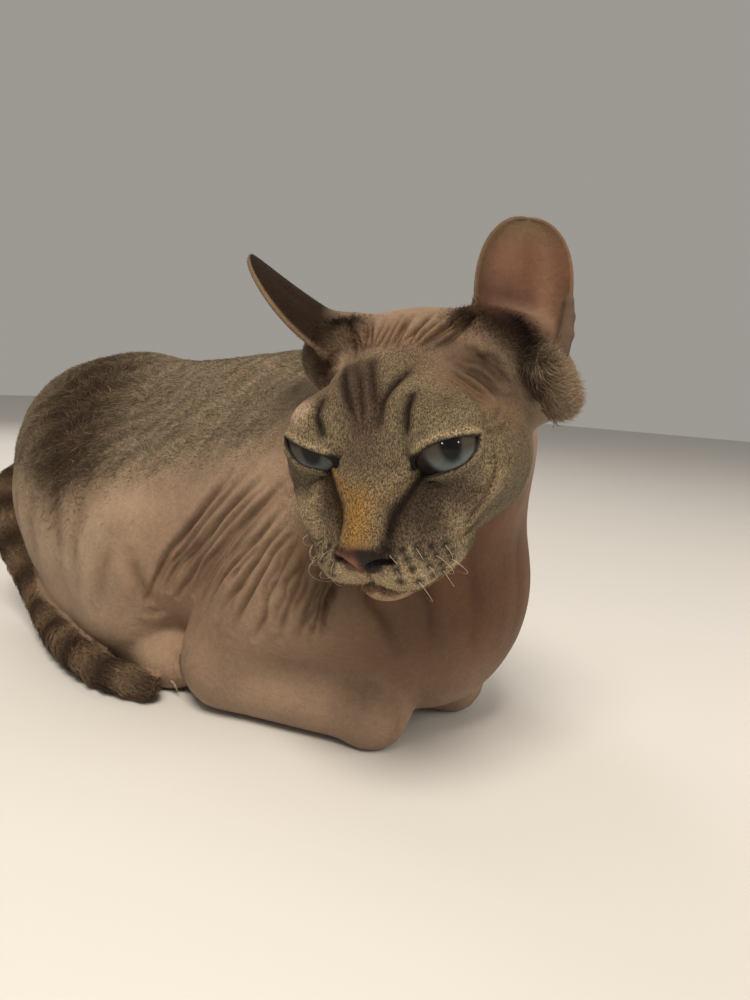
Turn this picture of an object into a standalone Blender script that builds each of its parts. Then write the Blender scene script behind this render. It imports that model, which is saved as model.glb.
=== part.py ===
"""A sphynx cat lying in a loaf with its head turned to its right: a still figure at life size.

The flesh is one smooth body, blended from plain forms (balls and tapered limbs), and parted
into named pieces by thin cuts. Ears are bent shells, and eyes are whole balls in sockets.
The cat faces -Y, its right side is -X, and +Z is up. The origin is on the floor, under the
middle of the whole figure. Sizes below are in millimetres, and MM turns them into metres.
"""

import math
from collections import namedtuple

import bmesh
import bpy
import numpy as np
from mathutils import Matrix, Vector

MM = 0.001

# Where the body and the head are. A frame is an origin and three axes in columns. The head's
# axes are its left, forward and up, and its origin is midway between the eyes.
BODY_AXIS = Vector((6.6, 4.8, 0.0))  # the body's own origin on the floor, from the figure's
HEAD_PLACE = Vector((-69.7, -144.5, 128.7))  # from the body's origin
HEAD_TURN = math.radians(-72.3)  # to the cat's right
HEAD_DROP = math.radians(25.1)  # nose down
HEAD_TILT = math.radians(-4.9)

# Sizes in the head's frame, for the left side
EYE_CENTRE = Vector((21.5, 3.0, -2.0))
EYE_RADIUS = 11.0
SLIT_MIDDLE = Vector((3.4, 10.0, 1.8))  # of the gap between the lids, from the eye's centre
SLIT_RADII = Vector((13.6, 9.0, 7.0))  # along the gap, into the head, and across the gap
SLIT_TILT = (0, -20, -24)  # degrees: its inner end lower and further forward than its outer one
EAR_LENGTH = 51.0
EAR_HALF_WIDTH = 19.4  # measured round its curve
EAR_WIDEST = 0.36  # share of its length
EAR_ROOT_SHARE = 0.84  # its width at the root, of the widest
EAR_TIP_POWER = 2.1  # 2 would be a round tip, and more is squarer
EAR_ROLL = 1.5  # radians that half of its width is bent through at the root
LEFT_UNROLL, RIGHT_UNROLL = 0.75, 1.2  # how much less at the tip
LEFT_BOW, RIGHT_BOW = 9.0, -6.0  # how strongly its back bows out along its length
EAR_THICKNESS = 2.0
EAR_ROWS = 11
EAR_COLUMNS = 8
MOUTH_DROP = -12  # degrees from the back of the mouth to its front
JAW_HALF = Vector((60.0, 34.0, 40.0))  # half sizes of the block that holds the lower jaw
JAW_MIDDLE = Vector((0.0, 9.0, -68.5))
NECK_CUT = Vector((-0.45, -0.69, -0.57)) * 50.0  # the middle of the cut behind the head

TAIL_LEAST_RADIUS = 7.5
TAIL_TAPER = 4.5
TAIL_TAPER_POWER = 0.6
TAIL_STEPS = 3  # rods between two points of its route
TAIL_BLEND = 3
TAIL_ROOT_BLEND = 14
TAIL_FLARE = 5.0  # how much thicker the root is where it leaves the rump
TAIL_FLARE_SHARE = 0.2
TAIL_LENGTHS = 4
TAIL_CELL_RADII = 4  # radius of the ball that parts a length off, in radii of the tail

CUT = 0.6  # width of the cuts between pieces
ROOT_GAP = 0.84  # between the head or body and what is rooted on it
BODY_VOXEL = 3.4
HEAD_VOXEL = 2.2
TAIL_VOXEL = 2.6
BODY_FACES = 2700  # triangles kept
HEAD_FACES = 2500
TAIL_FACES = 520
KEPT_AFTER_CUTS = (0.6, 0.64, 0.7, 0.8, 1)  # shares to try, as cuts leave many slivers
LONG = 400.0  # longer than any piece
FAR = 1000.0  # a distance before any form is measured
TINY = 1e-6  # keeps a division from nought
NO_BLEND = 1  # for shapes that are never blended
SETTLE_ROUNDS = 4
SLOPE_STEP = 0.05
LEAST_SLOPE = 0.1
WELD_REACH = 0.05  # points of an ear's sheet closer than this are one

SKIN = (0.27, 0.20, 0.15)
FURRED = (0.20, 0.17, 0.14)
EAR_SKIN = (0.24, 0.15, 0.12)
TAIL_FUR = (0.10, 0.085, 0.075)
EYE = (0.16, 0.22, 0.22)

Frame = namedtuple("Frame", "origin axes")
Ball = namedtuple("Ball", "centre axes radii blend")
Limb = namedtuple("Limb", "start end start_radius end_radius blend")
Block = namedtuple("Block", "centre axes half")
Ear = namedtuple("Ear", "root up facing outward unroll bow")


def head_frame():
    turn = Matrix.Rotation(HEAD_TURN, 3, "Z") @ Matrix.Rotation(HEAD_DROP, 3, "X")
    turn = turn @ Matrix.Rotation(HEAD_TILT, 3, "Y")
    return Frame(BODY_AXIS + HEAD_PLACE, turn @ Matrix.Diagonal((1, -1, 1)))


BODY = Frame(BODY_AXIS, Matrix.Identity(3))
HEAD = head_frame()


def place(frame, point):
    """A point of a frame, in the figure's own coordinates."""
    return frame.origin + frame.axes @ Vector(point)


def turned(frame, tilt):
    """The frame's axes, turned by tilt, in degrees about each of them."""
    turn = Matrix.Identity(3)
    for angle, axis in zip(tilt, "XYZ"):
        turn = Matrix.Rotation(math.radians(angle), 3, axis) @ turn
    return frame.axes @ turn


def ball(frame, centre, radii, blend=NO_BLEND, tilt=(0, 0, 0)):
    """An ellipsoid. The blend is how far it melts into the forms before it."""
    return Ball(place(frame, centre), turned(frame, tilt), Vector(radii), blend)


def limb(frame, start, end, start_radius, end_radius, blend=NO_BLEND):
    """A rod with round ends of two radii."""
    return Limb(place(frame, start), place(frame, end), start_radius, end_radius, blend)


def block(frame, centre, half, tilt=(0, 0, 0)):
    return Block(place(frame, centre), turned(frame, tilt), Vector(half))


def ear(root, up, facing, side, unroll, bow):
    """An ear of the head's frame: where it starts, its axis, and the way its hollow faces."""
    up = Vector(up).normalized()
    facing = (Vector(facing) - Vector(facing).project(up)).normalized()
    outward = up.cross(facing) * side
    axes = (HEAD.axes @ axis for axis in (up, facing, outward))
    return Ear(place(HEAD, root), *axes, unroll, bow)


LEFT_EAR = ear((33, -36, 7), (0.03, -0.66, 0.75), (0.40, 0.69, 0.60), -1, LEFT_UNROLL, LEFT_BOW)
RIGHT_EAR = ear((-17, -42, 17), (-0.75, 0.10, 0.66), (-0.42, 0.30, -0.79), 1, RIGHT_UNROLL, RIGHT_BOW)


def ear_outline(share):
    """The ear's half width at a share of its length: tall sides and a broad round tip."""
    if share < EAR_WIDEST:
        widening = math.sin(math.pi / 2 * share / EAR_WIDEST)
        return EAR_HALF_WIDTH * (EAR_ROOT_SHARE + (1 - EAR_ROOT_SHARE) * widening)
    past = (share - EAR_WIDEST) / (1 - EAR_WIDEST)
    return EAR_HALF_WIDTH * math.sqrt(max(0.0, 1 - past**EAR_TIP_POWER))


def ear_point(one, share, across):
    """A point of the ear's middle sheet, which is rolled forward at both edges."""
    roll = EAR_ROLL - one.unroll * share
    bend = ear_outline(share) / roll
    side = bend * math.sin(across * roll)
    front = bend * (1 - math.cos(across * roll)) - one.bow * share * (1 - share)
    return one.root + one.up * share * EAR_LENGTH + one.outward * side + one.facing * front


# The forms of each part


def trunk_forms():
    return [
        ball(BODY, (0, -50, 84), (54, 80, 68), 20),  # ribs
        ball(BODY, (5, -106, 64), (48, 49, 58), 24),  # breast
        ball(BODY, (0, 20, 70), (65, 84, 70), 26),  # belly
        ball(BODY, (0, 96, 86), (57, 70, 61), 20),  # rump
        ball(BODY, (0, 109, 105), (57, 60, 45), 20),  # top of the rump
        ball(BODY, (0, 96, 52), (50, 52, 47), 20),  # seat
        limb(BODY, (0, -72, 134), (0, 84, 128), 24, 20, 24),  # spine
    ]


def neck_forms():
    return [
        limb(BODY, (3, -86, 104), (-8, -118, 122), 47, 42, 22),
        limb(BODY, (-2, -88, 126), (-12, -118, 136), 32, 30, 20),  # nape
    ]


def foreleg_forms(side):
    return [
        ball(BODY, (side * 38, -70, 88), (22, 42, 50), 18, (-12, 0, 0)),  # shoulder blade
        limb(BODY, (side * 40, -96, 66), (side * 47, -46, 28), 24, 20, 16),  # upper arm
        limb(BODY, (side * 47, -46, 17), (side * 29, -110, 14), 18, 14, 12),  # forearm
        limb(BODY, (side * 27, -113, 12.5), (side * 10, -90, 11), 14, 12, 7),  # paw, tucked in
    ]


def hindleg_forms(side):
    return [
        ball(BODY, (side * 45, 70, 66), (28, 66, 51), 22, (25, 0, 0)),  # thigh
        ball(BODY, (side * 53, 20, 46), (20, 27, 36), 22, (16, 0, 0)),  # knee
        limb(BODY, (side * 52, 16, 26), (side * 48, 92, 18), 17, 12, 14),  # shank
        limb(BODY, (side * 47, 96, 10.5), (side * 50, -4, 10), 12, 12, 9),  # sole
        ball(BODY, (side * 50, -10, 10.5), (14.5, 17, 12), 7),  # toes
    ]


def tail_route():
    """Points down the middle of the tail: off the rump, round its right side and along it."""
    return [
        Vector((-4, 148, 90)),
        Vector((-26, 163, 80)),
        Vector((-47, 161, 68)),
        Vector((-56, 144, 52)),
        Vector((-57, 122, 34)),
        Vector((-59, 98, 19)),
        Vector((-66, 70, 11)),
        Vector((-74, 40, 10)),
        Vector((-77, 10, 8.5)),
        Vector((-72, -18, 7)),
    ]


def tail_radius(share):
    """The tail's radius with its coat, from its root at 0 to its tip at 1."""
    flare = TAIL_FLARE * max(0.0, 1 - share / TAIL_FLARE_SHARE) ** 2
    return TAIL_LEAST_RADIUS + TAIL_TAPER * (1 - share) ** TAIL_TAPER_POWER + flare


def smooth_route(points, steps):
    """A Catmull-Rom curve through the points."""
    ends = [2 * points[0] - points[1], *points, 2 * points[-1] - points[-2]]
    route = []
    for i in range(len(points) - 1):
        a, b, c, d = ends[i : i + 4]
        for step in range(steps):
            t = step / steps
            bend = (2 * a - 5 * b + 4 * c - d) * t**2 + (3 * b - 3 * c + d - a) * t**3
            route.append(0.5 * (2 * b + (c - a) * t + bend))
    return [*route, points[-1]]


def tail_forms():
    route = smooth_route(tail_route(), TAIL_STEPS)
    last = len(route) - 1
    forms = []
    for i in range(last):
        radii = (tail_radius(i / last), tail_radius((i + 1) / last))
        forms.append(limb(BODY, route[i], route[i + 1], *radii, TAIL_BLEND if i else TAIL_ROOT_BLEND))
    return forms


def skull_forms():
    forms = [
        ball(HEAD, (0, -36, 0), (31, 38, 25), 8),  # cranium
        ball(HEAD, (0, -13, -2), (26, 23, 18), 10),  # forehead
        limb(HEAD, (0, 2, -12), (0, 21, -24.5), 15, 11, 8),  # bridge of the nose
        ball(HEAD, (0, 27, -25), (8.5, 7.5, 6.5), 4),  # nose
        ball(HEAD, (0, 17, -42.0), (10, 10.5, 8.5), 6),  # chin
        limb(HEAD, (-19, -38, 13), (19, -38, 13), 12.5, 12.5, 10),  # crown, between the ears
        limb(HEAD, (0, -8, -30), (0, -44, -26), 16, 27, 14),  # throat
    ]
    for side in (-1, 1):
        forms += [
            ball(HEAD, (side * 10.3, 18.8, -32.3), (12.6, 13.6, 10.3), 5),  # whisker pad
            ball(HEAD, (side * 18, 11, -32), (9, 10, 7), 6),  # corner of the lips
            ball(HEAD, (side * 17, 7, -21), (14, 17, 13), 8),  # side of the muzzle
            ball(HEAD, (side * 27, -11, -12), (13, 21, 14), 10),  # cheekbone
            ball(HEAD, (side * 25, -27, -22), (14.5, 20, 17), 10),  # cheek
            limb(HEAD, (side * 20, -24, -32), (side * 6, 12, -39), 11, 8.5, 9),  # jawbone
            ball(HEAD, (side * 19, -2, 8), (12.5, 9.5, 6), 7, (0, side * 12, 0)),  # brow
            ball(HEAD, (side * 21.5, 3, -2), (12.2, 12.2, 12.2), 5),  # lids
            ball(HEAD, (side * 25, -37, 14), (10, 10, 10), 8),  # inner corner of the ear
        ]
    forms.append(ball(HEAD, (33, -42, 4), (16, 16, 19), 9))  # root of the left ear
    forms.append(ball(HEAD, (-31, -42, 11), (15, 15, 14), 9))  # root of the right ear
    forms.append(ball(HEAD, (42.5, -40, -2), (11.5, 12, 12), 7))  # tuft under the left ear
    return forms


def body_forms():
    forms = trunk_forms() + neck_forms()
    for side in (-1, 1):
        forms += hindleg_forms(side) + foreleg_forms(side)
    return forms + skull_forms()


# The blended surface


def ball_distance(points, form):
    inside = (points - np.array(form.centre)) @ np.array(form.axes) / np.array(form.radii)
    reach = np.linalg.norm(inside, axis=1)
    slope = np.linalg.norm(inside / np.array(form.radii), axis=1)
    return reach * (reach - 1) / np.maximum(slope, TINY)


def limb_distance(points, form):
    start = np.array(form.start)
    along = np.array(form.end) - start
    share = np.clip((points - start) @ along / (along @ along), 0, 1)
    centre = start + share[:, None] * along
    radius = form.start_radius + share * (form.end_radius - form.start_radius)
    return np.linalg.norm(points - centre, axis=1) - radius


def bounds_of(form):
    """The middle and radius of a sphere round the form."""
    if isinstance(form, Ball):
        return np.array(form.centre), max(form.radii)
    radius = max(form.start_radius, form.end_radius)
    return np.array(form.start + form.end) / 2, (form.end - form.start).length / 2 + radius


def flesh_distance(points, forms):
    """How far each point is outside the forms, blended one after another."""
    total = np.full(len(points), FAR)
    for form in forms:
        middle, size = bounds_of(form)
        near = np.linalg.norm(points - middle, axis=1) - size < total + form.blend
        measure = ball_distance if isinstance(form, Ball) else limb_distance
        one = measure(points[near], form)
        before = total[near]
        mix = np.clip(0.5 + 0.5 * (before - one) / form.blend, 0, 1)
        total[near] = before * (1 - mix) + one * mix - form.blend * mix * (1 - mix)
    return total


def settle(points, forms, reach):
    """The points moved onto the blend, each along the way its distance grows."""
    for _ in range(SETTLE_ROUNDS):
        here = flesh_distance(points, forms)
        slope = np.empty_like(points)
        for axis in range(3):
            ahead = points.copy()
            ahead[:, axis] += SLOPE_STEP
            slope[:, axis] = (flesh_distance(ahead, forms) - here) / SLOPE_STEP
        slope /= np.maximum(np.sum(slope**2, axis=1), LEAST_SLOPE)[:, None]
        points = points - np.clip(here[:, None] * slope, -reach, reach)
    return points


def points_of(mesh):
    flat = np.empty(len(mesh.vertices) * 3)
    mesh.vertices.foreach_get("co", flat)
    return flat.reshape(-1, 3) / MM


def set_points(mesh, points):
    mesh.vertices.foreach_set("co", (points * MM).ravel())
    mesh.update()


def unit_sphere(segments, rings):
    """The points and faces of a sphere of radius 1 whose poles lie on Z."""
    bm = bmesh.new()
    bmesh.ops.create_uvsphere(bm, u_segments=segments, v_segments=rings, radius=1)
    points = np.array([vert.co for vert in bm.verts])
    faces = [[vert.index for vert in face.verts] for face in bm.faces]
    bm.free()
    return points, faces


FINE_SPHERE = unit_sphere(28, 18)
COARSE_SPHERE = unit_sphere(12, 8)
EYE_SPHERE = unit_sphere(16, 10)
CUBE_POINTS = np.array([(x, y, z) for z in (-1, 1) for y in (-1, 1) for x in (-1, 1)])
CUBE_FACES = [[0, 2, 3, 1], [4, 5, 7, 6], [0, 1, 5, 4], [2, 6, 7, 3], [0, 4, 6, 2], [1, 3, 7, 5]]


def form_shape(form, sphere, grow):
    """Points and faces: the sphere stretched to a ball or pulled apart to a limb, or a block."""
    if isinstance(form, Block):
        half = np.array(form.half) + grow
        return np.array(form.centre) + CUBE_POINTS * half @ np.array(form.axes).T, CUBE_FACES
    ways, faces = sphere
    if isinstance(form, Ball):
        radii = np.array(form.radii) + grow
        return np.array(form.centre) + ways * radii @ np.array(form.axes).T, faces
    turn = np.array((form.end - form.start).to_track_quat("Z", "Y").to_matrix())
    upper = (ways[:, 2] > 0)[:, None]
    centre = np.where(upper, np.array(form.end), np.array(form.start))
    radius = np.where(upper, form.end_radius, form.start_radius) + grow
    return centre + ways @ turn.T * radius, faces


def object_of(name, points, faces, collection):
    """A mesh object from points in millimetres, linked to the collection."""
    mesh = bpy.data.meshes.new(name)
    mesh.from_pydata((np.asarray(points) * MM).tolist(), [], faces)
    obj = bpy.data.objects.new(name, mesh)
    collection.objects.link(obj)
    return obj


def object_of_forms(name, forms, collection, sphere, grow=0.0):
    """One mesh object that holds every form, each of them closed and facing out."""
    points = []
    faces = []
    for form in forms:
        shape_points, shape_faces = form_shape(form, sphere, grow)
        faces += [[len(points) + index for index in face] for face in shape_faces]
        points += shape_points.tolist()
    obj = object_of(name, points, faces, collection)
    bm = bmesh.new()
    bm.from_mesh(obj.data)
    bmesh.ops.recalc_face_normals(bm, faces=bm.faces)
    bm.to_mesh(obj.data)
    bm.free()
    return obj


def apply_modifiers(obj):
    graph = bpy.context.evaluated_depsgraph_get()
    old = obj.data
    mesh = bpy.data.meshes.new_from_object(obj.evaluated_get(graph))
    obj.modifiers.clear()
    obj.data = mesh
    bpy.data.meshes.remove(old)
    mesh.name = obj.name


def blended_body(name, forms, blend, voxel, faces, collection):
    """One closed mesh of the forms: remeshed together, drawn onto the blend, then thinned out."""
    obj = object_of_forms(name, forms, collection, FINE_SPHERE)
    remesh = obj.modifiers.new("Remesh", "REMESH")
    remesh.mode = "VOXEL"
    remesh.voxel_size = voxel * MM
    apply_modifiers(obj)
    set_points(obj.data, settle(points_of(obj.data), blend, voxel))
    thin_out(obj, faces / (2 * len(obj.data.polygons)))
    return obj


def thin_out(obj, ratio):
    thin = obj.modifiers.new("Decimate", "DECIMATE")
    thin.ratio = ratio
    thin.use_collapse_triangulate = True
    apply_modifiers(obj)


def ear_shell(name, one, collection):
    """The ear's sheet, made thick to both sides."""
    points = []
    for i in range(EAR_ROWS + 1):
        share = math.sin(math.pi / 2 * i / EAR_ROWS)
        points += [ear_point(one, share, 2 * j / EAR_COLUMNS - 1) for j in range(EAR_COLUMNS + 1)]
    wide = EAR_COLUMNS + 1
    corners = [i * wide + j for i in range(EAR_ROWS) for j in range(EAR_COLUMNS)]
    faces = [(k, k + 1, k + wide + 1, k + wide) for k in corners]
    obj = object_of(name, points, faces, collection)
    weld = obj.modifiers.new("Weld", "WELD")
    weld.merge_threshold = WELD_REACH * MM
    solid = obj.modifiers.new("Solidify", "SOLIDIFY")
    solid.thickness = EAR_THICKNESS * MM
    solid.offset = 0
    apply_modifiers(obj)
    return obj


# Parting: cells are closed shapes that take a named piece out of the whole


def cut(obj, cutter, operation):
    """Keeps what is inside the cutter (INTERSECT) or takes it away (DIFFERENCE).

    The MANIFOLD solver is used because EXACT leaves open edges in these dense blended bodies.
    """
    boolean = obj.modifiers.new("Cut", "BOOLEAN")
    boolean.operation = operation
    boolean.solver = "MANIFOLD"
    boolean.object = cutter
    apply_modifiers(obj)
    keep_largest(obj)


def cut_with(obj, form, collection, operation, grow=0.0, sphere=COARSE_SPHERE):
    cell = object_of_forms("Cell", [form], collection, sphere, grow)
    cut(obj, cell, operation)
    bpy.data.objects.remove(cell)


def keep_largest(obj):
    """Removes the crumbs that a cut can leave beside the piece."""
    bm = bmesh.new()
    bm.from_mesh(obj.data)
    left = set(bm.verts)
    groups = []
    while left:
        stack = [left.pop()]
        group = []
        while stack:
            vert = stack.pop()
            group.append(vert)
            joined = {edge.other_vert(vert) for edge in vert.link_edges} & left
            left -= joined
            stack += joined
        groups.append(group)
    groups.sort(key=len)
    for group in groups[:-1]:
        bmesh.ops.delete(bm, geom=group, context="VERTS")
    bm.to_mesh(obj.data)
    bm.free()


def part_off(whole, name, cell, collection):
    """Cuts the piece inside a cell off the whole, leaving the width of a cut between them."""
    piece = object_copy(whole, name, collection)
    cut_with(piece, cell, collection, "INTERSECT")
    cut_with(whole, cell, collection, "DIFFERENCE", CUT)
    return piece


def object_copy(obj, name, collection):
    copy = bpy.data.objects.new(name, obj.data.copy())
    collection.objects.link(copy)
    return copy


def foreleg_cells(side):
    return {
        "forepaw": limb(BODY, (side * 27, -122, 6), (side * 6, -84, 8), 17, 15),
        "forearm": limb(BODY, (side * 50, -42, 15), (side * 28, -104, 12), 22, 17),
        "upper_arm": limb(BODY, (side * 46, -94, 68), (side * 52, -48, 34), 28, 22),
        "shoulder": ball(BODY, (side * 46, -66, 96), (26, 44, 46), tilt=(-12, 0, 0)),
    }


def hindleg_cells(side):
    return {
        "hind_foot": limb(BODY, (side * 46, 104, 4), (side * 50, -16, 6), 17, 19),
        "shank": limb(BODY, (side * 56, 10, 30), (side * 50, 96, 26), 18, 14),
        "thigh": ball(BODY, (side * 56, 64, 66), (36, 74, 54), tilt=(25, 0, 0)),
    }


def part_legs(body, collection):
    for side, word in ((1, "left"), (-1, "right")):
        for part, cell in {**foreleg_cells(side), **hindleg_cells(side)}.items():
            part_off(body, f"{part}_{word}", cell, collection)


def part_trunk(body, collection):
    """The neck, then the trunk in three lengths."""
    neck = limb(BODY, (0, -100, 122), (-30, -136, 146), 52, 60)
    part_off(body, "neck", neck, collection)
    for name, front in (("rump", 62), ("belly", -18)):
        behind = block(BODY, (0, front + LONG, 0), (LONG, LONG, LONG))
        part_off(body, name, behind, collection)
    body.name = "chest"


def part_head(body, head, collection):
    """Keeps the finer mesh ahead of the cut through the neck and the other one behind it."""
    ahead = -NECK_CUT.normalized()
    turn = ahead.to_track_quat("Z", "Y").to_matrix()
    cut_frame = Frame(place(HEAD, NECK_CUT), HEAD.axes @ turn)
    cell = block(cut_frame, (0, 0, LONG), (LONG, LONG, LONG))
    cut_with(head, cell, collection, "INTERSECT")
    cut_with(body, cell, collection, "DIFFERENCE", CUT)
    part_off(head, "lower_jaw", block(HEAD, JAW_MIDDLE, JAW_HALF, (MOUTH_DROP, 0, 0)), collection)


def mirrored(vector, side):
    return Vector((side * vector[0], vector[1], vector[2]))


def make_eye(head, side, word, collection):
    """A whole eyeball, and the socket and the gap between the lids that it shows through."""
    centre = mirrored(EYE_CENTRE, side)
    socket = ball(HEAD, centre, [EYE_RADIUS + CUT] * 3)
    tilt = (SLIT_TILT[0], side * SLIT_TILT[1], side * SLIT_TILT[2])
    slit = ball(HEAD, centre + mirrored(SLIT_MIDDLE, side), SLIT_RADII, tilt=tilt)
    cut_with(head, slit, collection, "DIFFERENCE", 0.0, EYE_SPHERE)
    cut_with(head, socket, collection, "DIFFERENCE", 0.0, EYE_SPHERE)
    eyeball = ball(HEAD, centre, [EYE_RADIUS] * 3)
    object_of_forms(f"eye_{word}", [eyeball], collection, EYE_SPHERE)


def grown_copy(obj, collection):
    """The object pushed out by the gap that is left at the roots of the ears and tail."""
    copy = object_copy(obj, "Grown", collection)
    points = points_of(copy.data)
    normals = np.array([vert.normal for vert in copy.data.vertices])
    set_points(copy.data, points + ROOT_GAP * normals)
    return copy


def make_ear(name, one, grown_head, collection):
    """A bent shell that ends just off the head."""
    cut(ear_shell(name, one, collection), grown_head, "DIFFERENCE")


def make_tail(grown_body, collection):
    """The tail off the rump in lengths, parted by large balls, so that each cut is nearly square."""
    forms = tail_forms()
    tail = blended_body("tail", forms, forms, TAIL_VOXEL, TAIL_FACES, collection)
    cut(tail, grown_body, "DIFFERENCE")
    for i in range(1, TAIL_LENGTHS):
        form = forms[len(forms) * i // TAIL_LENGTHS]
        along = (form.end - form.start).normalized()
        reach = TAIL_CELL_RADII * form.start_radius
        cell = Ball(form.start - along * reach, Matrix.Identity(3), Vector([reach] * 3), NO_BLEND)
        part_off(tail, f"tail_{i}", cell, collection)
    tail.name = f"tail_{TAIL_LENGTHS}"


def is_closed(mesh):
    bm = bmesh.new()
    bm.from_mesh(mesh)
    closed = all(edge.is_manifold for edge in bm.edges)
    bm.free()
    return closed


def thin_piece(obj):
    """Thins a cut piece out by the most that leaves it closed."""
    whole = obj.data.copy()
    for share in KEPT_AFTER_CUTS:
        thin_out(obj, share)
        if is_closed(obj.data):
            break
        obj.data = whole.copy()
    bpy.data.meshes.remove(whole)


def paint(obj, colour, roughness):
    """Gives the object a material of its own."""
    material = bpy.data.materials.new(obj.name)
    material.use_nodes = True
    shader = material.node_tree.nodes["Principled BSDF"]
    shader.inputs["Base Color"].default_value = (*colour, 1)
    shader.inputs["Roughness"].default_value = roughness
    shader.inputs["Metallic"].default_value = 0.0
    obj.data.materials.clear()
    obj.data.materials.append(material)


def colour_of(name):
    """Colour and roughness of a piece, by its name."""
    looks = {"eye": (EYE, 0.1), "ear": (EAR_SKIN, 0.6), "tail": (TAIL_FUR, 0.9)}
    furred = {"chest": (FURRED, 0.9), "rump": (FURRED, 0.9)}
    return {**looks, **furred}.get(name.split("_")[0], (SKIN, 0.7))


def main():
    for obj in list(bpy.data.objects):
        bpy.data.objects.remove(obj)
    collection = bpy.data.collections.new("sphynx_cat")
    bpy.context.scene.collection.children.link(collection)
    forms = body_forms()
    body = blended_body("body", forms, forms, BODY_VOXEL, BODY_FACES, collection)
    front = neck_forms() + skull_forms()
    head = blended_body("head", front, forms, HEAD_VOXEL, HEAD_FACES, collection)
    grown_body = grown_copy(body, collection)
    grown_head = grown_copy(head, collection)
    make_tail(grown_body, collection)
    make_ear("ear_left", LEFT_EAR, grown_head, collection)
    make_ear("ear_right", RIGHT_EAR, grown_head, collection)
    bpy.data.objects.remove(grown_body)
    bpy.data.objects.remove(grown_head)
    part_head(body, head, collection)
    part_legs(body, collection)
    part_trunk(body, collection)
    for side, word in ((1, "left"), (-1, "right")):
        make_eye(head, side, word, collection)
    below_floor = block(BODY, (0, 0, -LONG), (LONG, LONG, LONG))
    for obj in list(collection.objects):
        if not obj.name.startswith(("eye", "ear")):
            thin_piece(obj)
            cut_with(obj, below_floor, collection, "DIFFERENCE")
        paint(obj, *colour_of(obj.name))


main()
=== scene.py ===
"""A life-size sphynx cat lying down with its head turned to its right, as a still figure.

One skin stands for all the nodes of flesh. The eyes, lid rims, claws, whiskers and coat are
pieces of their own. Sizes are in millimetres in the figure's frame, and MM turns them into
metres. The body's frame faces -Y with its right side at -X. The head's frame has its origin
midway between the eyes, and its axes are the head's left, forward and up.
"""

import math
from collections import namedtuple
from functools import partial

import bmesh
import bpy
import numpy as np
from mathutils import Matrix, Vector
from mathutils.bvhtree import BVHTree


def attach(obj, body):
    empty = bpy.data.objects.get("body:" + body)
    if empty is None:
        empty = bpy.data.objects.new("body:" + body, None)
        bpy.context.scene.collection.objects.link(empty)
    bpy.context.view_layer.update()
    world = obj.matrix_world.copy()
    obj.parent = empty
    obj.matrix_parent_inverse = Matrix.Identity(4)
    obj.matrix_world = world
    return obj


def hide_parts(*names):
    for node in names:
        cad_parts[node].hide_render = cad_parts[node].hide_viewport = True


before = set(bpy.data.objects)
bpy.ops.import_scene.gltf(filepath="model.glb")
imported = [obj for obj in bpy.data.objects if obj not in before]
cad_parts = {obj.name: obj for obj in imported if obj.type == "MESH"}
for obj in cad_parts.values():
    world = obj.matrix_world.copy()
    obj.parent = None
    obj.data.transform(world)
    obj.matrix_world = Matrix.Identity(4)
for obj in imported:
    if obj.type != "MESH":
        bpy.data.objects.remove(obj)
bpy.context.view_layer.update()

MM = 0.001
TINY = 1e-6  # keeps a division from nought

# Frames and forms, as in the solids

Frame = namedtuple("Frame", "origin axes")
Ball = namedtuple("Ball", "centre axes radii blend")
Limb = namedtuple("Limb", "start end start_radius end_radius blend")
Ear = namedtuple("Ear", "root up facing outward unroll bow")


def turning(axis, degrees):
    return np.array(Matrix.Rotation(math.radians(degrees), 3, axis))


BODY_AXIS = np.array((6.6, 4.8, 0.0))
BODY = Frame(BODY_AXIS, np.eye(3))
HEAD = Frame(
    BODY_AXIS + np.array((-69.7, -144.5, 128.7)),
    turning("Z", -72.3) @ turning("X", 25.1) @ turning("Y", -4.9) @ np.diag((1, -1, 1)),
)
NECK_CUT = np.array((-0.45, -0.69, -0.57)) * 50.0

EYE_CENTRE = np.array((21.5, 3.0, -2.0))
EYE_RADIUS = 11.0
EAR_LENGTH = 51.0
EAR_HALF_WIDTH = 19.4  # measured round its curve
EAR_WIDEST = 0.36  # share of its length
EAR_ROOT_SHARE = 0.84  # its width at the root, of the widest
EAR_TIP_POWER = 2.1  # 2 would be a round tip, and more is squarer
EAR_ROLL = 1.5  # radians that half of its width is bent through at the root
TAIL_LEAST_RADIUS = 7.5
TAIL_TAPER = 4.5
TAIL_TAPER_POWER = 0.6
TAIL_FLARE = 5.0  # how much thicker the root is where it leaves the rump
TAIL_FLARE_SHARE = 0.2


def place(where, point):
    return where.origin + where.axes @ np.asarray(point, float)


def seen_from(where, points):
    """Points of the figure in a frame's own coordinates."""
    return (points - where.origin) @ where.axes


def out_of(where, points):
    """Points of a frame in the figure's coordinates."""
    return where.origin + points @ where.axes.T


def ball(where, centre, radii, blend, tilt=(0, 0, 0)):
    """An ellipsoid. The blend is how far it melts into the forms before it."""
    turn = np.eye(3)
    for angle, axis in zip(tilt, "XYZ"):
        turn = turning(axis, angle) @ turn
    return Ball(place(where, centre), where.axes @ turn, np.array(radii, float), blend)


def limb(where, start, end, start_radius, end_radius, blend):
    """A rod with round ends of two radii."""
    return Limb(place(where, start), place(where, end), start_radius, end_radius, blend)


def unit(vector):
    vector = np.asarray(vector, float)
    return vector / np.maximum(np.linalg.norm(vector, axis=-1, keepdims=True), 1e-9)


def lengths(rows):
    return np.linalg.norm(rows, axis=1)


def bell(values, middle, width):
    """1 at the middle, falling away softly to either side."""
    return np.exp(-(((values - middle) / width) ** 2))


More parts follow.
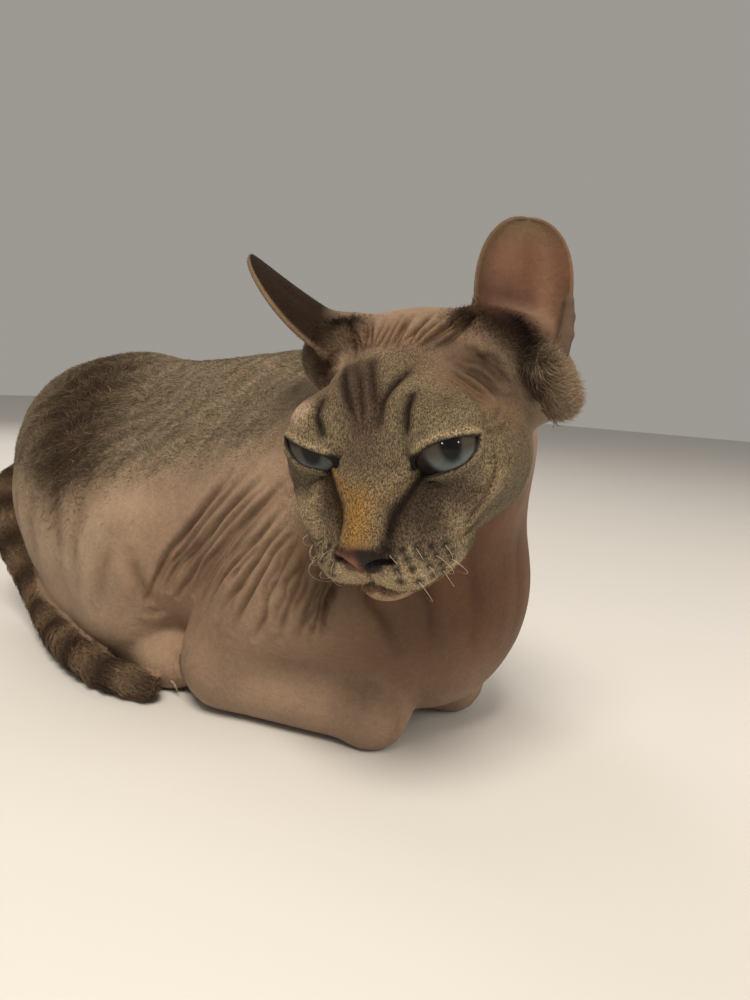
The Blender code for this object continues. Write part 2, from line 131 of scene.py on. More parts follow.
def ear(root, up, facing, side, unroll, bow):
    """An ear of the head's frame: where it starts, its axis, and the way its hollow faces."""
    up = unit(up)
    facing = unit(np.array(facing) - np.dot(facing, up) * up)
    outward = np.cross(up, facing) * side
    axes = (HEAD.axes @ axis for axis in (up, facing, outward))
    return Ear(place(HEAD, root), *axes, unroll, bow)


LEFT_UNROLL, RIGHT_UNROLL = 0.75, 1.2  # how much less each ear is rolled at its tip
LEFT_BOW, RIGHT_BOW = 9.0, -6.0  # how strongly its back bows out along its length
EARS = {
    "left": ear((33, -36, 7), (0.03, -0.66, 0.75), (0.40, 0.69, 0.60), -1, LEFT_UNROLL, LEFT_BOW),
    "right": ear((-17, -42, 17), (-0.75, 0.10, 0.66), (-0.42, 0.30, -0.79), 1, RIGHT_UNROLL, RIGHT_BOW),
}
EAR_SIGNS = {"left": 1, "right": -1}


def trunk_forms():
    return [
        ball(BODY, (0, -50, 84), (54, 80, 68), 20),  # ribs
        ball(BODY, (5, -106, 64), (48, 49, 58), 24),  # breast
        ball(BODY, (0, 20, 70), (65, 84, 70), 26),  # belly
        ball(BODY, (0, 96, 86), (57, 70, 61), 20),  # rump
        ball(BODY, (0, 109, 105), (57, 60, 45), 20),  # top of the rump
        ball(BODY, (0, 96, 52), (50, 52, 47), 20),  # seat
        limb(BODY, (0, -72, 134), (0, 84, 128), 24, 20, 24),  # spine
        limb(BODY, (3, -86, 104), (-8, -118, 122), 47, 42, 22),  # neck
        limb(BODY, (-2, -88, 126), (-12, -118, 136), 32, 30, 20),  # nape
    ]


def leg_forms(side):
    return [
        ball(BODY, (side * 45, 70, 66), (28, 66, 51), 22, (25, 0, 0)),  # thigh
        ball(BODY, (side * 53, 20, 46), (20, 27, 36), 22, (16, 0, 0)),  # knee
        limb(BODY, (side * 52, 16, 26), (side * 48, 92, 18), 17, 12, 14),  # shank
        limb(BODY, (side * 47, 96, 10.5), (side * 50, -4, 10), 12, 12, 9),  # sole
        ball(BODY, (side * 50, -10, 10.5), (14.5, 17, 12), 7),  # toes
        ball(BODY, (side * 38, -70, 88), (22, 42, 50), 18, (-12, 0, 0)),  # shoulder blade
        limb(BODY, (side * 40, -96, 66), (side * 47, -46, 28), 24, 20, 16),  # upper arm
        limb(BODY, (side * 47, -46, 17), (side * 29, -110, 14), 18, 14, 12),  # forearm
        limb(BODY, (side * 27, -113, 12.5), (side * 10, -90, 11), 14, 12, 7),  # paw
    ]


def skull_forms():
    forms = [
        ball(HEAD, (0, -36, 0), (31, 38, 25), 8),  # cranium
        ball(HEAD, (0, -13, -2), (26, 23, 18), 10),  # forehead
        limb(HEAD, (0, 2, -12), (0, 21, -24.5), 15, 11, 8),  # bridge of the nose
        ball(HEAD, (0, 27, -25), (8.5, 7.5, 6.5), 4),  # nose
        ball(HEAD, (0, 17, -42.0), (10, 10.5, 8.5), 6),  # chin
        limb(HEAD, (-19, -38, 13), (19, -38, 13), 12.5, 12.5, 10),  # crown
        limb(HEAD, (0, -8, -30), (0, -44, -26), 16, 27, 14),  # throat
    ]
    for side in (-1, 1):
        forms += [
            ball(HEAD, (side * 10.3, 18.8, -32.3), (12.6, 13.6, 10.3), 5),  # whisker pad
            ball(HEAD, (side * 18, 11, -32), (9, 10, 7), 6),  # corner of the lips
            ball(HEAD, (side * 17, 7, -21), (14, 17, 13), 8),  # side of the muzzle
            ball(HEAD, (side * 27, -11, -12), (13, 21, 14), 10),  # cheekbone
            ball(HEAD, (side * 25, -27, -22), (14.5, 20, 17), 10),  # cheek
            limb(HEAD, (side * 20, -24, -32), (side * 6, 12, -39), 11, 8.5, 9),  # jawbone
            ball(HEAD, (side * 19, -2, 8), (12.5, 9.5, 6), 7, (0, side * 12, 0)),  # brow
            ball(HEAD, (side * 21.5, 3, -2), (12.2, 12.2, 12.2), 5),  # lids
            ball(HEAD, (side * 25, -37, 14), (10, 10, 10), 8),  # inner corner of the ear
        ]
    forms.append(ball(HEAD, (33, -42, 4), (16, 16, 19), 9))  # root of the left ear
    forms.append(ball(HEAD, (-31, -42, 11), (15, 15, 14), 9))  # root of the right ear
    forms.append(ball(HEAD, (42.5, -40, -2), (11.5, 12, 12), 7))  # tuft under the left ear
    return forms


def tail_route():
    """Points down the middle of the tail, off the rump and along its right side."""
    points = [
        (-4, 148, 90),
        (-26, 163, 80),
        (-47, 161, 68),
        (-56, 144, 52),
        (-57, 122, 34),
        (-59, 98, 19),
        (-66, 70, 11),
        (-74, 40, 10),
        (-77, 10, 8.5),
        (-72, -18, 7),
    ]
    return smooth_route(points, 3)


def smooth_route(points, steps):
    """A Catmull-Rom curve through the points."""
    points = np.array(points, float)
    ends = np.vstack([2 * points[0] - points[1], points, 2 * points[-1] - points[-2]])
    route = []
    for i in range(len(points) - 1):
        a, b, c, d = ends[i : i + 4]
        for step in range(steps):
            t = step / steps
            bend = (2 * a - 5 * b + 4 * c - d) * t**2 + (3 * b - 3 * c + d - a) * t**3
            route.append(0.5 * (2 * b + (c - a) * t + bend))
    return np.array([*route, points[-1]])


TAIL_ROUTE = tail_route()
TAIL_OWN_BLEND = 3


def tail_radius(share):
    flare = TAIL_FLARE * np.maximum(0.0, 1 - share / TAIL_FLARE_SHARE) ** 2
    return TAIL_LEAST_RADIUS + TAIL_TAPER * (1 - share) ** TAIL_TAPER_POWER + flare


def tail_forms():
    last = len(TAIL_ROUTE) - 1
    radii = [tail_radius(i / last) for i in range(last + 1)]
    return [limb(BODY, *TAIL_ROUTE[i : i + 2], *radii[i : i + 2], TAIL_OWN_BLEND) for i in range(last)]


FLESH = trunk_forms() + leg_forms(-1) + leg_forms(1) + skull_forms()
TAIL = tail_forms()


def ear_outline(share):
    """The ear's half width at a share of its length: tall sides and a broad round tip."""
    widening = np.sin(math.pi / 2 * np.minimum(share / EAR_WIDEST, 1))
    below = EAR_ROOT_SHARE + (1 - EAR_ROOT_SHARE) * widening
    past = np.clip((share - EAR_WIDEST) / (1 - EAR_WIDEST), 0, 1)
    return EAR_HALF_WIDTH * np.where(share < EAR_WIDEST, below, np.sqrt(1 - past**EAR_TIP_POWER))


def ear_relief(share, across):
    """The ridge, the cup and the long bulge inside an ear, in millimetres."""
    ridge = bell(across + 0.5 * share, 0.62, 0.16) * bell(share, 0.22, 0.2)
    cup = bell(across, 0.05, 0.38) * bell(share, 0.1, 0.13)
    bulge = bell(across + 0.3 * share, -0.15, 0.2) * bell(share, 0.55, 0.2)
    return 2.0 * ridge - 2.2 * cup + bulge


def ear_point(one, share, across):
    """Points of the ear's middle sheet, which is rolled forward at both edges."""
    share = np.asarray(share, float)[:, None]
    across = np.asarray(across, float)[:, None]
    roll = EAR_ROLL - one.unroll * share
    bend = ear_outline(share) / roll
    side = bend * np.sin(across * roll)
    front = bend * (1 - np.cos(across * roll)) - one.bow * share * (1 - share) + ear_relief(share, across)
    return one.root + one.up * share * EAR_LENGTH + one.outward * side + one.facing * front


POCKET_BLEND = 1.6


def pocket_forms():
    """The loose flap beside the lower part of each ear's outer edge."""
    shares = (0.40, 0.30, 0.18, 0.06)
    away = np.array((0.0, 1.4, 2.6, 3.0))[:, None]
    radii = (1.0, 1.5, 1.9, 2.4)
    forms = []
    for one in EARS.values():
        route = ear_point(one, shares, np.ones(4)) + one.outward * away
        forms += [Limb(*route[i : i + 2], *radii[i : i + 2], POCKET_BLEND) for i in range(3)]
    return forms


FLESH += pocket_forms()

# Distances from the forms, in millimetres


def ball_field(points, form):
    """Distance outside the ellipsoid, and the way it grows."""
    scaled = (points - form.centre) @ form.axes / form.radii
    reach = lengths(scaled)
    slope = scaled / form.radii
    steep = np.maximum(lengths(slope), TINY)
    return reach * (reach - 1) / steep, slope / steep[:, None] @ form.axes.T


def from_line(points, start, end):
    """For each point: the share of the line where it is nearest, and the way from there."""
    along = end - start
    share = np.clip((points - start) @ along / max(along @ along, 1e-9), 0, 1)
    return share, points - start - share[:, None] * along


def limb_field(points, form):
    """Distance outside the rod, and the way it grows."""
    share, away = from_line(points, form.start, form.end)
    length = np.maximum(lengths(away), TINY)
    radius = form.start_radius + share * (form.end_radius - form.start_radius)
    return length - radius, away / length[:, None]


def reach_of(form):
    """The middle and radius of a sphere round the form."""
    if isinstance(form, Ball):
        return form.centre, max(form.radii)
    middle = (form.start + form.end) / 2
    half = np.linalg.norm(form.end - form.start) / 2
    return middle, half + max(form.start_radius, form.end_radius)


def blended_field(points, forms):
    """Distance and slope of the forms, blended one after another."""
    total = np.full(len(points), FAR_FROM_FLESH)
    slope = np.zeros((len(points), 3))
    for form in forms:
        middle, size = reach_of(form)
        close = lengths(points - middle) - size < total + form.blend
        field = ball_field if isinstance(form, Ball) else limb_field
        before = total[close], slope[close]
        total[close], slope[close] = join_fields(before, field(points[close], form), form.blend)
    return total, slope


def share_of(first, second, blend):
    """How far the second distance counts where two forms melt into each other, from 0 to 1."""
    return np.clip(0.5 + 0.5 * (first - second) / blend, 0, 1)


def join_fields(first, second, blend):
    """Two (distance, slope) pairs as one that melts from the one into the other."""
    mix = share_of(first[0], second[0], blend)
    distance = first[0] * (1 - mix) + second[0] * mix - blend * mix * (1 - mix)
    return distance, first[1] * (1 - mix[:, None]) + second[1] * mix[:, None]


EAR_GRID = 60  # rows and columns of the sheet that distances are measured from
EAR_REACH = 16.0  # how far from an ear its distance matters
FAR = 99.0  # a distance that is past every reach
FAR_FROM_FLESH = 1e3


def ear_sheet(one, rows, columns):
    """Points and quads of the ear's middle sheet."""
    shares = np.sin(np.linspace(0, math.pi / 2, rows + 1))
    across = np.linspace(-1, 1, columns + 1)
    share, side = (grid.ravel() for grid in np.meshgrid(shares, across, indexing="ij"))
    points = ear_point(one, share, side)
    wide = columns + 1
    corners = [i * wide + j for i in range(rows) for j in range(columns)]
    return points, [(k, k + 1, k + wide + 1, k + wide) for k in corners]


def ear_tree(one):
    """The sheet in a form that finds nearest points quickly."""
    points, quads = ear_sheet(one, EAR_GRID, EAR_GRID)
    return BVHTree.FromPolygons(points.tolist(), quads)


EAR_TREES = {side: ear_tree(one) for side, one in EARS.items()}


def ear_nearest(side, points):
    """For the points near the ear: their indices and their nearest points on its sheet."""
    one = EARS[side]
    middle = one.root + one.up * EAR_LENGTH / 2
    close = np.flatnonzero(lengths(points - middle) < EAR_LENGTH / 2 + EAR_REACH)
    found = []
    kept = []
    for index in close:
        spot = EAR_TREES[side].find_nearest(points[index].tolist(), EAR_REACH)[0]
        if spot is not None:
            kept.append(index)
            found.append(tuple(spot))
    return np.array(kept, int), np.array(found, float).reshape(-1, 3)


EAR_HALF_THICK = 0.75
EAR_BLEND = 4.0
TAIL_BLEND = 2.5
TAIL_DEPTH = 2.6  # of the coat, between the tail's forms and its skin


def ear_field(side, points):
    distance = np.full(len(points), FAR)
    slope = np.zeros((len(points), 3))
    index, nearest = ear_nearest(side, points)
    away = points[index] - nearest
    length = np.maximum(lengths(away), TINY)
    distance[index] = length - EAR_HALF_THICK
    slope[index] = away / length[:, None]
    return distance, slope


def skin_field(points, depth):
    """The skin lies where this is nought: the flesh less the coat's depth, with the ears."""
    flesh, slope = blended_field(points, FLESH)
    field = join_fields((flesh + depth, slope), tail_field(points), TAIL_BLEND)
    for side in EARS:
        field = join_fields(field, ear_field(side, points), EAR_BLEND)
    return field


def tail_field(points):
    distance, slope = blended_field(points, TAIL)
    return distance + TAIL_DEPTH, slope


LEAST_SLOPE = 0.1


def settle(points, depth, reach, rounds):
    """The points moved onto the skin's surface."""
    for _ in range(rounds):
        distance, slope = skin_field(points, depth)
        slope = slope / np.maximum(np.sum(slope**2, axis=1), LEAST_SLOPE)[:, None]
        points = points - np.clip(distance, -reach, reach)[:, None] * slope
    return points


# Zones: how much a point belongs to something, from 0 to 1


def ramp(values, low, high):
    """0 below the low value and 1 above the high one, and smooth between them."""
    share = np.clip((values - low) / (high - low), 0, 1)
    return share * share * (3 - 2 * share)


def route_distance(points, route, most=FAR):
    """Distance to a line through the points of a route, or most where it is further off."""
    route = np.array(route, float).reshape(-1, 3)
    result = np.full(len(points), most)
    low = route.min(axis=0) - most
    high = route.max(axis=0) + most
    close = np.flatnonzero(np.all((points > low) & (points < high), axis=1))
    here = points[close]
    best = np.full(len(close), most)
    if len(route) == 1:
        best = np.minimum(best, lengths(here - route[0]))
    for start, end in zip(route[:-1], route[1:]):
        best = np.minimum(best, lengths(from_line(here, start, end)[1]))
    result[close] = best
    return result


def near(points, route, reach):
    """1 on the route, falling away softly over the reach."""
    distance = route_distance(points, route, 3.0 * reach)
    return np.where(distance < 3.0 * reach, bell(distance, 0, reach), 0.0)


def near_both(points, route, reach):
    """The same for a route and its mirror image."""
    return near(points, route, reach) + near(points, mirror(route), reach)


def mirror(route):
    return [(-x, y, z) for x, y, z in route]


def ahead_of_neck(points):
    return (seen_from(HEAD, points) - NECK_CUT) @ -unit(NECK_CUT)


def headness(points):
    return ramp(ahead_of_neck(points), -6, 10)


def furriness(points):
    """How furry the trunk is: its top behind the shoulders, and most of all the rump."""
    body = seen_from(BODY, points)
    ahead = np.maximum(60 - body[:, 1], 0)
    edge = 84 + 0.22 * ahead + 0.0022 * ahead**1.5
    top = ramp(body[:, 2], edge - 14, edge + 12)
    behind = ramp(body[:, 1], -105, -60)
    return top * behind * (1 - headness(points))


TAIL_EDGE = 3.0  # how softly what counts as tail gives way to rump
Site = namedtuple("Site", "body head in_head fur tail tail_share ear ear_side ear_share ear_across hollow")


def ear_places(points, flesh):
    """Weight, side, share of the length, place across, and whether in the hollow, in five rows."""
    places = np.zeros((5, len(points)))
    for side, one in EARS.items():
        index, nearest = ear_nearest(side, points)
        away = lengths(points[index] - nearest) - EAR_HALF_THICK
        weight = share_of(flesh[index], away, EAR_BLEND)
        which = np.full(len(index), EAR_SIGNS[side])
        share = np.clip((nearest - one.root) @ one.up / EAR_LENGTH, 0, 1)
        roll = EAR_ROLL - one.unroll * share
        bend = ear_outline(share) / roll
        sideways = (nearest - one.root) @ one.outward
        forward = (nearest - one.root) @ one.facing + one.bow * share * (1 - share)
        angle = np.arctan2(sideways, bend - forward)
        centre = nearest - np.outer(np.sin(angle) * bend, one.outward)
        centre += np.outer(np.cos(angle) * bend, one.facing)
        inward = np.sum((points[index] - nearest) * (centre - nearest), axis=1)
        places[:, index] = weight, which, share, angle / roll, ramp(inward, -0.5, 0.5)
    return places


def tail_shares(body):
    """How far along the tail each point is."""
    along = np.zeros(len(body))
    nearest = np.full(len(body), FAR_FROM_FLESH)
    last = len(TAIL_ROUTE) - 1
    for i in range(last):
        share, away = from_line(body, TAIL_ROUTE[i], TAIL_ROUTE[i + 1])
        away = lengths(away)
        along = np.where(away < nearest, (i + share) / last, along)
        nearest = np.minimum(away, nearest)
    return along


def site_of(points):
    """Where each point is, in the ways that colours, folds and coat ask for."""
    flesh = blended_field(points, FLESH)[0]
    tail = tail_field(points)[0]
    body = seen_from(BODY, points)
    zones = headness(points), furriness(points), share_of(flesh, tail, TAIL_EDGE), tail_shares(body)
    return Site(body, seen_from(HEAD, points), *zones, *ear_places(points, flesh))


# The skin's mesh

SKIN_VOXEL = 1.9
RELAX_ROUNDS = 3
SKIN_DEPTH = 0.7  # of the skin below the solids' outside
FUR_DEPTH = 1.3  # more, where the trunk is furry


def unit_sphere(segments, rings):
    bm = bmesh.new()
    bmesh.ops.create_uvsphere(bm, u_segments=segments, v_segments=rings, radius=1)
    points = np.array([vert.co for vert in bm.verts])
    faces = [[vert.index for vert in face.verts] for face in bm.faces]
    bm.free()
    return points, faces


def form_shape(form, sphere):
    """The sphere stretched to a ball, or pulled apart to a limb."""
    ways, faces = sphere
    if isinstance(form, Ball):
        return form.centre + ways * form.radii @ form.axes.T, faces
    turn = np.array(Vector(form.end - form.start).to_track_quat("Z", "Y").to_matrix())
    upper = (ways[:, 2] > 0)[:, None]
    centre = np.where(upper, form.end, form.start)
    radius = np.where(upper, form.end_radius, form.start_radius)
    return centre + ways @ turn.T * radius, faces


def object_of(name, points, faces):
    """A mesh object from points in millimetres."""
    mesh = bpy.data.meshes.new(name)
    mesh.from_pydata((np.asarray(points) * MM).tolist(), [], faces)
    obj = bpy.data.objects.new(name, mesh)
    bpy.context.scene.collection.objects.link(obj)
    return obj


def points_of(mesh):
    flat = np.empty(len(mesh.vertices) * 3)
    mesh.vertices.foreach_get("co", flat)
    return flat.reshape(-1, 3) / MM


def set_points(mesh, points):
    mesh.vertices.foreach_set("co", (points * MM).ravel())
    mesh.update()


def normals_of(mesh):
    flat = np.empty(len(mesh.vertices) * 3, np.float32)
    mesh.vertex_normals.foreach_get("vector", flat)
    return flat.reshape(-1, 3).astype(float)


def apply_modifiers(obj):
    graph = bpy.context.evaluated_depsgraph_get()
    old = obj.data
    mesh = bpy.data.meshes.new_from_object(obj.evaluated_get(graph))
    obj.modifiers.clear()
    obj.data = mesh
    bpy.data.meshes.remove(old)
    mesh.name = obj.name


# More than the skin's, so that the points settle onto smooth shells and rims
RAW_EAR_THICKNESS = 3.4
RAW_RIM_RADIUS = 2.1
RAW_RIM_SIDES = 10


def ear_rim(one):
    """The ear's edge, from its outer root over the tip to the inner one."""
    shares = np.sin(np.linspace(0, math.pi / 2, EAR_GRID))
    outer = ear_point(one, shares, np.ones(EAR_GRID))
    inner = ear_point(one, shares, -np.ones(EAR_GRID))
    return np.vstack([outer, inner[-2::-1]])


def ear_shell(one):
    """Points and faces of the ear's sheet made thick to both sides."""
    shell = object_of("Shell", *ear_sheet(one, EAR_GRID // 2, EAR_GRID // 2))
    solid = shell.modifiers.new("Solidify", "SOLIDIFY")
    solid.thickness = RAW_EAR_THICKNESS * MM
    solid.offset = 0
    apply_modifiers(shell)
    shape = points_of(shell.data), [list(face.vertices) for face in shell.data.polygons]
    bpy.data.objects.remove(shell)
    return shape


def joined(shapes):
    """The points and faces of several shapes as those of one."""
    points = []
    faces = []
    for shape_points, shape_faces in shapes:
        faces += [[len(points) + index for index in face] for face in shape_faces]
        points += shape_points.tolist()
    return points, faces


def raw_skin():
    """All the forms and the ears' shells in one mesh, remeshed together."""
    sphere = unit_sphere(40, 26)
    shapes = [form_shape(form, sphere) for form in FLESH + TAIL]
    for one in EARS.values():
        shapes += [ear_shell(one), tube(ear_rim(one), RAW_RIM_RADIUS, RAW_RIM_SIDES)]
    obj = object_of("skin", *joined(shapes))
    turn_faces_out(obj)
    remesh = obj.modifiers.new("Remesh", "REMESH")
    remesh.mode = "VOXEL"
    remesh.voxel_size = SKIN_VOXEL * MM
    apply_modifiers(obj)
    return obj


def refine(obj, wanted):
    """Splits the faces whose points are wanted into four."""
    points = points_of(obj.data)
    chosen = wanted(points)
    bm = bmesh.new()
    bm.from_mesh(obj.data)
    bm.verts.ensure_lookup_table()
    edges = [edge for edge in bm.edges if chosen[edge.verts[0].index] and chosen[edge.verts[1].index]]
    bmesh.ops.subdivide_edges(bm, edges=edges, cuts=1, use_grid_fill=True)
    bm.to_mesh(obj.data)
    bm.free()


def relax(mesh, points, share=0.5):
    """Each point moved towards the middle of its neighbours."""
    edges = np.empty(len(mesh.edges) * 2, np.int32)
    mesh.edges.foreach_get("vertices", edges)
    ends = np.concatenate([edges, edges.reshape(-1, 2)[:, ::-1].ravel()]).reshape(-1, 2)
    count = np.bincount(ends[:, 0], minlength=len(points))[:, None]
    middle = np.empty_like(points)
    for axis in range(3):
        middle[:, axis] = np.bincount(ends[:, 0], points[ends[:, 1], axis], len(points))
    return points * (1 - share) + middle / np.maximum(count, 1) * share


def head_part(points):
    return ahead_of_neck(points) > 4


def creased_part(points):
    """The head, and the flanks and chest where the skin folds."""
    _, y, z = seen_from(BODY, points).T
    return head_part(points) | ((y > -160) & (y < 6) & (z > 30) & (z < 118))


def fine_part(points):
    """The face, the crown and the ears."""
    head = seen_from(HEAD, points)
    face = (head[:, 1] > -6) & (head[:, 2] > -50)
    ears = route_distance(points, [one.root + one.up * EAR_LENGTH / 2 for one in EARS.values()], 30) < 30
    return (face | ears) & head_part(points)


def coat_depth(points):
    return SKIN_DEPTH + FUR_DEPTH * furriness(points)


def by_folds(points):
    """Near the folds of the flanks, neck and crown."""
    chosen = np.zeros(len(points), bool)
    for fold in flank_folds() + crown_folds() + temple_folds():
        route = snapped(fold.where, fold.route)
        chosen |= route_distance(points, route, 4.0) < 2.2
    return chosen | fine_part(points)


def settled_skin():
    """The skin before its folds and lids, with finer faces where there is more to shape."""
    obj = raw_skin()
    for part in (None, creased_part, by_folds):
        if part:
            refine(obj, part)
        points = points_of(obj.data)
        depth = coat_depth(points)
        for _ in range(RELAX_ROUNDS):
            points = settle(relax(obj.data, points), depth, SKIN_VOXEL, 1)
        set_points(obj.data, points)
    return obj, points


# The eyes, their lids and their rims

Eye = namedtuple("Eye", "side centre gaze upper lower")
LID_RADIUS = 12.0
LID_GAP_RADIUS = 9.0  # of the skin behind the gap, under the eyeball
LID_RIM_RISE = 0.3
LID_RIM_RADIUS = 0.28
IRIS_RADIUS = 8.2
CORNEA_RISE = 0.9
PUPIL_HALF_WIDTH, PUPIL_HALF_HEIGHT = 3.1, 5.4
EYE_REACH = 26  # past it a point has nothing to do with the eye

# Angles in degrees about the eye's middle: outward from straight ahead, and up.
EYES = {
    "left": Eye(
        1,
        EYE_CENTRE,
        (29, 24),
        [(-47, -40), (-45, -20), (-36, 2), (-14, 21), (15, 33), (55, 31), (88, 19)],
        [(88, 19), (74, 9), (47, -6), (13, -15), (-16, -26), (-47, -40)],
    ),
    "right": Eye(
        -1,
        EYE_CENTRE * (-1, 1, 1),
        (-14, 16),
        [(-48, -43), (-46, -27), (-40, -4), (-14, 16), (30, 30), (66, 26)],
        [(66, 26), (30, 12), (6, -5), (-21, -17), (-48, -43)],
    ),
}


def way_of(side, outward, up):
    """The direction in the head's frame at two angles in degrees."""
    outward, up = np.radians(outward), np.radians(up)
    return np.stack([side * np.sin(outward) * np.cos(up), np.cos(outward) * np.cos(up), np.sin(up)], -1)


def lid_loop(eye):
    """Directions round the gap between the lids."""
    lines = [smooth_route([(*angles, 0) for angles in line], 8)[:-1] for line in (eye.upper, eye.lower)]
    angles = np.vstack(lines)
    return way_of(eye.side, angles[:, 0], angles[:, 1])


def flat_map(ways, middle):
    """Directions near a middle one laid out flat, in millimetres over the eyeball."""
    across = unit(np.cross((0, 0, 1), middle))
    above = np.cross(middle, across)
    angle = np.arccos(np.clip(ways @ middle, -1, 1))
    stretch = EYE_RADIUS * angle / np.maximum(np.sin(angle), TINY)
    return np.stack([ways @ across * stretch, ways @ above * stretch], -1)


def outside_loop(points, loop):
    """Signed distance outside a closed line in the plane."""
    best = np.full(len(points), FAR)
    inside = np.zeros(len(points), bool)
    for start, end in zip(loop, np.roll(loop, -1, axis=0)):
        along = end - start
        best = np.minimum(best, lengths(from_line(points, start, end)[1]))
        crosses = (start[1] > points[:, 1]) != (end[1] > points[:, 1])
        reach = start[0] + (points[:, 1] - start[1]) * along[0] / (along[1] or TINY)
        inside ^= crosses & (points[:, 0] < reach)
    return np.where(inside, -best, best)


def lid_distance(eye, head):
    """Distance outside the gap between the lids, or FAR away from the eye, and the radius."""
    away = head - eye.centre
    radius = lengths(away)
    loop = lid_loop(eye)
    middle = unit(loop.mean(axis=0))
    ways = away / radius[:, None]
    result = np.full(len(head), FAR)
    close = (radius < EYE_REACH) & (ways @ middle > -0.1)
    result[close] = outside_loop(flat_map(ways[close], middle), flat_map(loop, middle))
    return result, radius


def shape_lids(eye, head):
    """The head's points with the lids drawn onto the eyeball and the gap sunk behind it."""
    outside, radius = lid_distance(eye, head)
    near_eye = outside < 9
    out, old = outside[near_eye], radius[near_eye]
    free = np.maximum(ramp(out, 1.6, 8.8), 1 - ramp(eye.side * head[near_eye, 0], 2, 9))
    lid = LID_RADIUS + (old - LID_RADIUS) * free
    lid += 0.35 * bell(out, 0.9, 0.5) - 0.1 * bell(out, 2.6, 0.5)
    new = LID_GAP_RADIUS + (lid - LID_GAP_RADIUS) * ramp(out, -0.5, 0.15)
    head = head.copy()
    head[near_eye] = eye.centre + (head[near_eye] - eye.centre) * (new / old)[:, None]
    return head


def make_eyeball(name, eye):
    """A ball with a corneal bulge whose poles lie on the gaze. Its colours are an iris."""
    gaze = way_of(eye.side, *eye.gaze)
    across = unit(np.cross(gaze, (0, 0, 1)))
    above = np.cross(across, gaze)
    ways, faces = unit_sphere(128, 96)
    share = np.sqrt(ways[:, 0] ** 2 + ways[:, 1] ** 2) * EYE_RADIUS / IRIS_RADIUS
    front = ways[:, 2] > 0
    bulge = np.where(front, CORNEA_RISE * np.clip(1 - (share / 1.05) ** 2, 0, 1) ** 0.8, 0)
    local = ways * (EYE_RADIUS + bulge)[:, None]
    head = eye.centre + local @ np.array([across, above, gaze])
    obj = object_of(name, out_of(HEAD, head), faces)
    turn_faces_out(obj)
    set_colours(obj.data, iris_colours(ways[:, 0], ways[:, 1], share, front))
    shade_smooth(obj.data)
    finish_piece(obj, eye_material())
    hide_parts(name)


def turn_faces_out(obj):
    bm = bmesh.new()
    bm.from_mesh(obj.data)
    bmesh.ops.recalc_face_normals(bm, faces=bm.faces)
    bm.to_mesh(obj.data)
    bm.free()


IRIS_DARK, IRIS_PALE, IRIS_LOW = (42, 49, 51), (86, 97, 98), (106, 116, 113)
IRIS_TOP = (60, 52, 42)  # in the shade of the upper lid
IRIS_RIM = (26, 25, 25)
PUPIL = (4, 3, 4)
EYE_WHITE = (30, 21, 19)  # as dark as the lids' shade makes it


def iris_colours(x, y, share, front):
    """Blue grey with pale fibres, a dark rim and a tall pupil, with painted shade of the upper lid over its
    top. Round it the eye is painted dark with the lids' shade.
    """
    angle = np.arctan2(y, x)
    fibres = sum(
        np.sin(angle * k + 2.1 * np.sin(k) + share * 3 * np.sin(k * 1.7)) / (1 + k / 60)
        for k in (7, 13, 19, 29, 41, 53, 67, 83)
    )
    up = y * EYE_RADIUS / IRIS_RADIUS
    colours = mixed(linear(IRIS_DARK), linear(IRIS_PALE), np.clip(0.5 + 0.08 * fibres, 0, 1))
    colours = tinted(colours, IRIS_LOW, 0.6 * ramp(share, 0.4, 0.75) * ramp(-up, -0.1, 0.6))
    # Painted shade of the upper lid: the iris browner towards its top, and darker still just under the lid
    colours = tinted(colours, IRIS_TOP, 0.95 * ramp(up, -0.6, 0.05))
    colours = tinted(colours, IRIS_RIM, 0.9 * ramp(share, 0.8, 0.98))
    colours = colours * (1 - 0.75 * ramp(up, 0, 0.4))[:, None]
    pupil = np.hypot(x * EYE_RADIUS / PUPIL_HALF_WIDTH, (y * EYE_RADIUS - 1.0) / PUPIL_HALF_HEIGHT)
    colours = tinted(colours, PUPIL, 1 - ramp(pupil, 0.75, 1.25))
    colours = tinted(colours, EYE_WHITE, np.where(front, ramp(share, 0.96, 1.04), 1))
    return np.column_stack([colours, np.ones(len(x))])


def tube(route, radii, sides, closed=False):
    """Points and faces of a round tube along a route, with capped ends if it is open."""
    route = np.asarray(route, float)
    if closed:
        ways = unit(np.roll(route, -1, axis=0) - np.roll(route, 1, axis=0))
    else:
        ways = unit(np.gradient(route, axis=0))
    radii = np.broadcast_to(radii, len(route))
    side = unit(np.cross(ways[0], (0.3, 0.5, 0.8)))
    rings = []
    for centre, way, radius in zip(route, ways, radii):
        side = unit(side - (side @ way) * way)
        other = np.cross(way, side)
        turn = np.linspace(0, 2 * math.pi, sides, endpoint=False)[:, None]
        rings.append(centre + radius * (np.cos(turn) * side + np.sin(turn) * other))
    count = len(route)
    faces = []
    for i in range(count if closed else count - 1):
        for j in range(sides):
            near_ring, far_ring, turned = i * sides, (i + 1) % count * sides, (j + 1) % sides
            faces.append((near_ring + j, near_ring + turned, far_ring + turned, far_ring + j))
    if not closed:
        faces += [tuple(range(sides))[::-1], tuple(range((count - 1) * sides, count * sides))]
    return np.vstack(rings), faces


def make_lid_rim(name, eye):
    """The dark wet edge of both lids."""
    route = out_of(HEAD, eye.centre + lid_loop(eye) * (EYE_RADIUS + LID_RIM_RISE))
    material = two_tone(name, (18, 11, 10), (40, 27, 23), 500, 0.4)
    joined_tubes(name, [(route, LID_RIM_RADIUS, 8, True)], material)


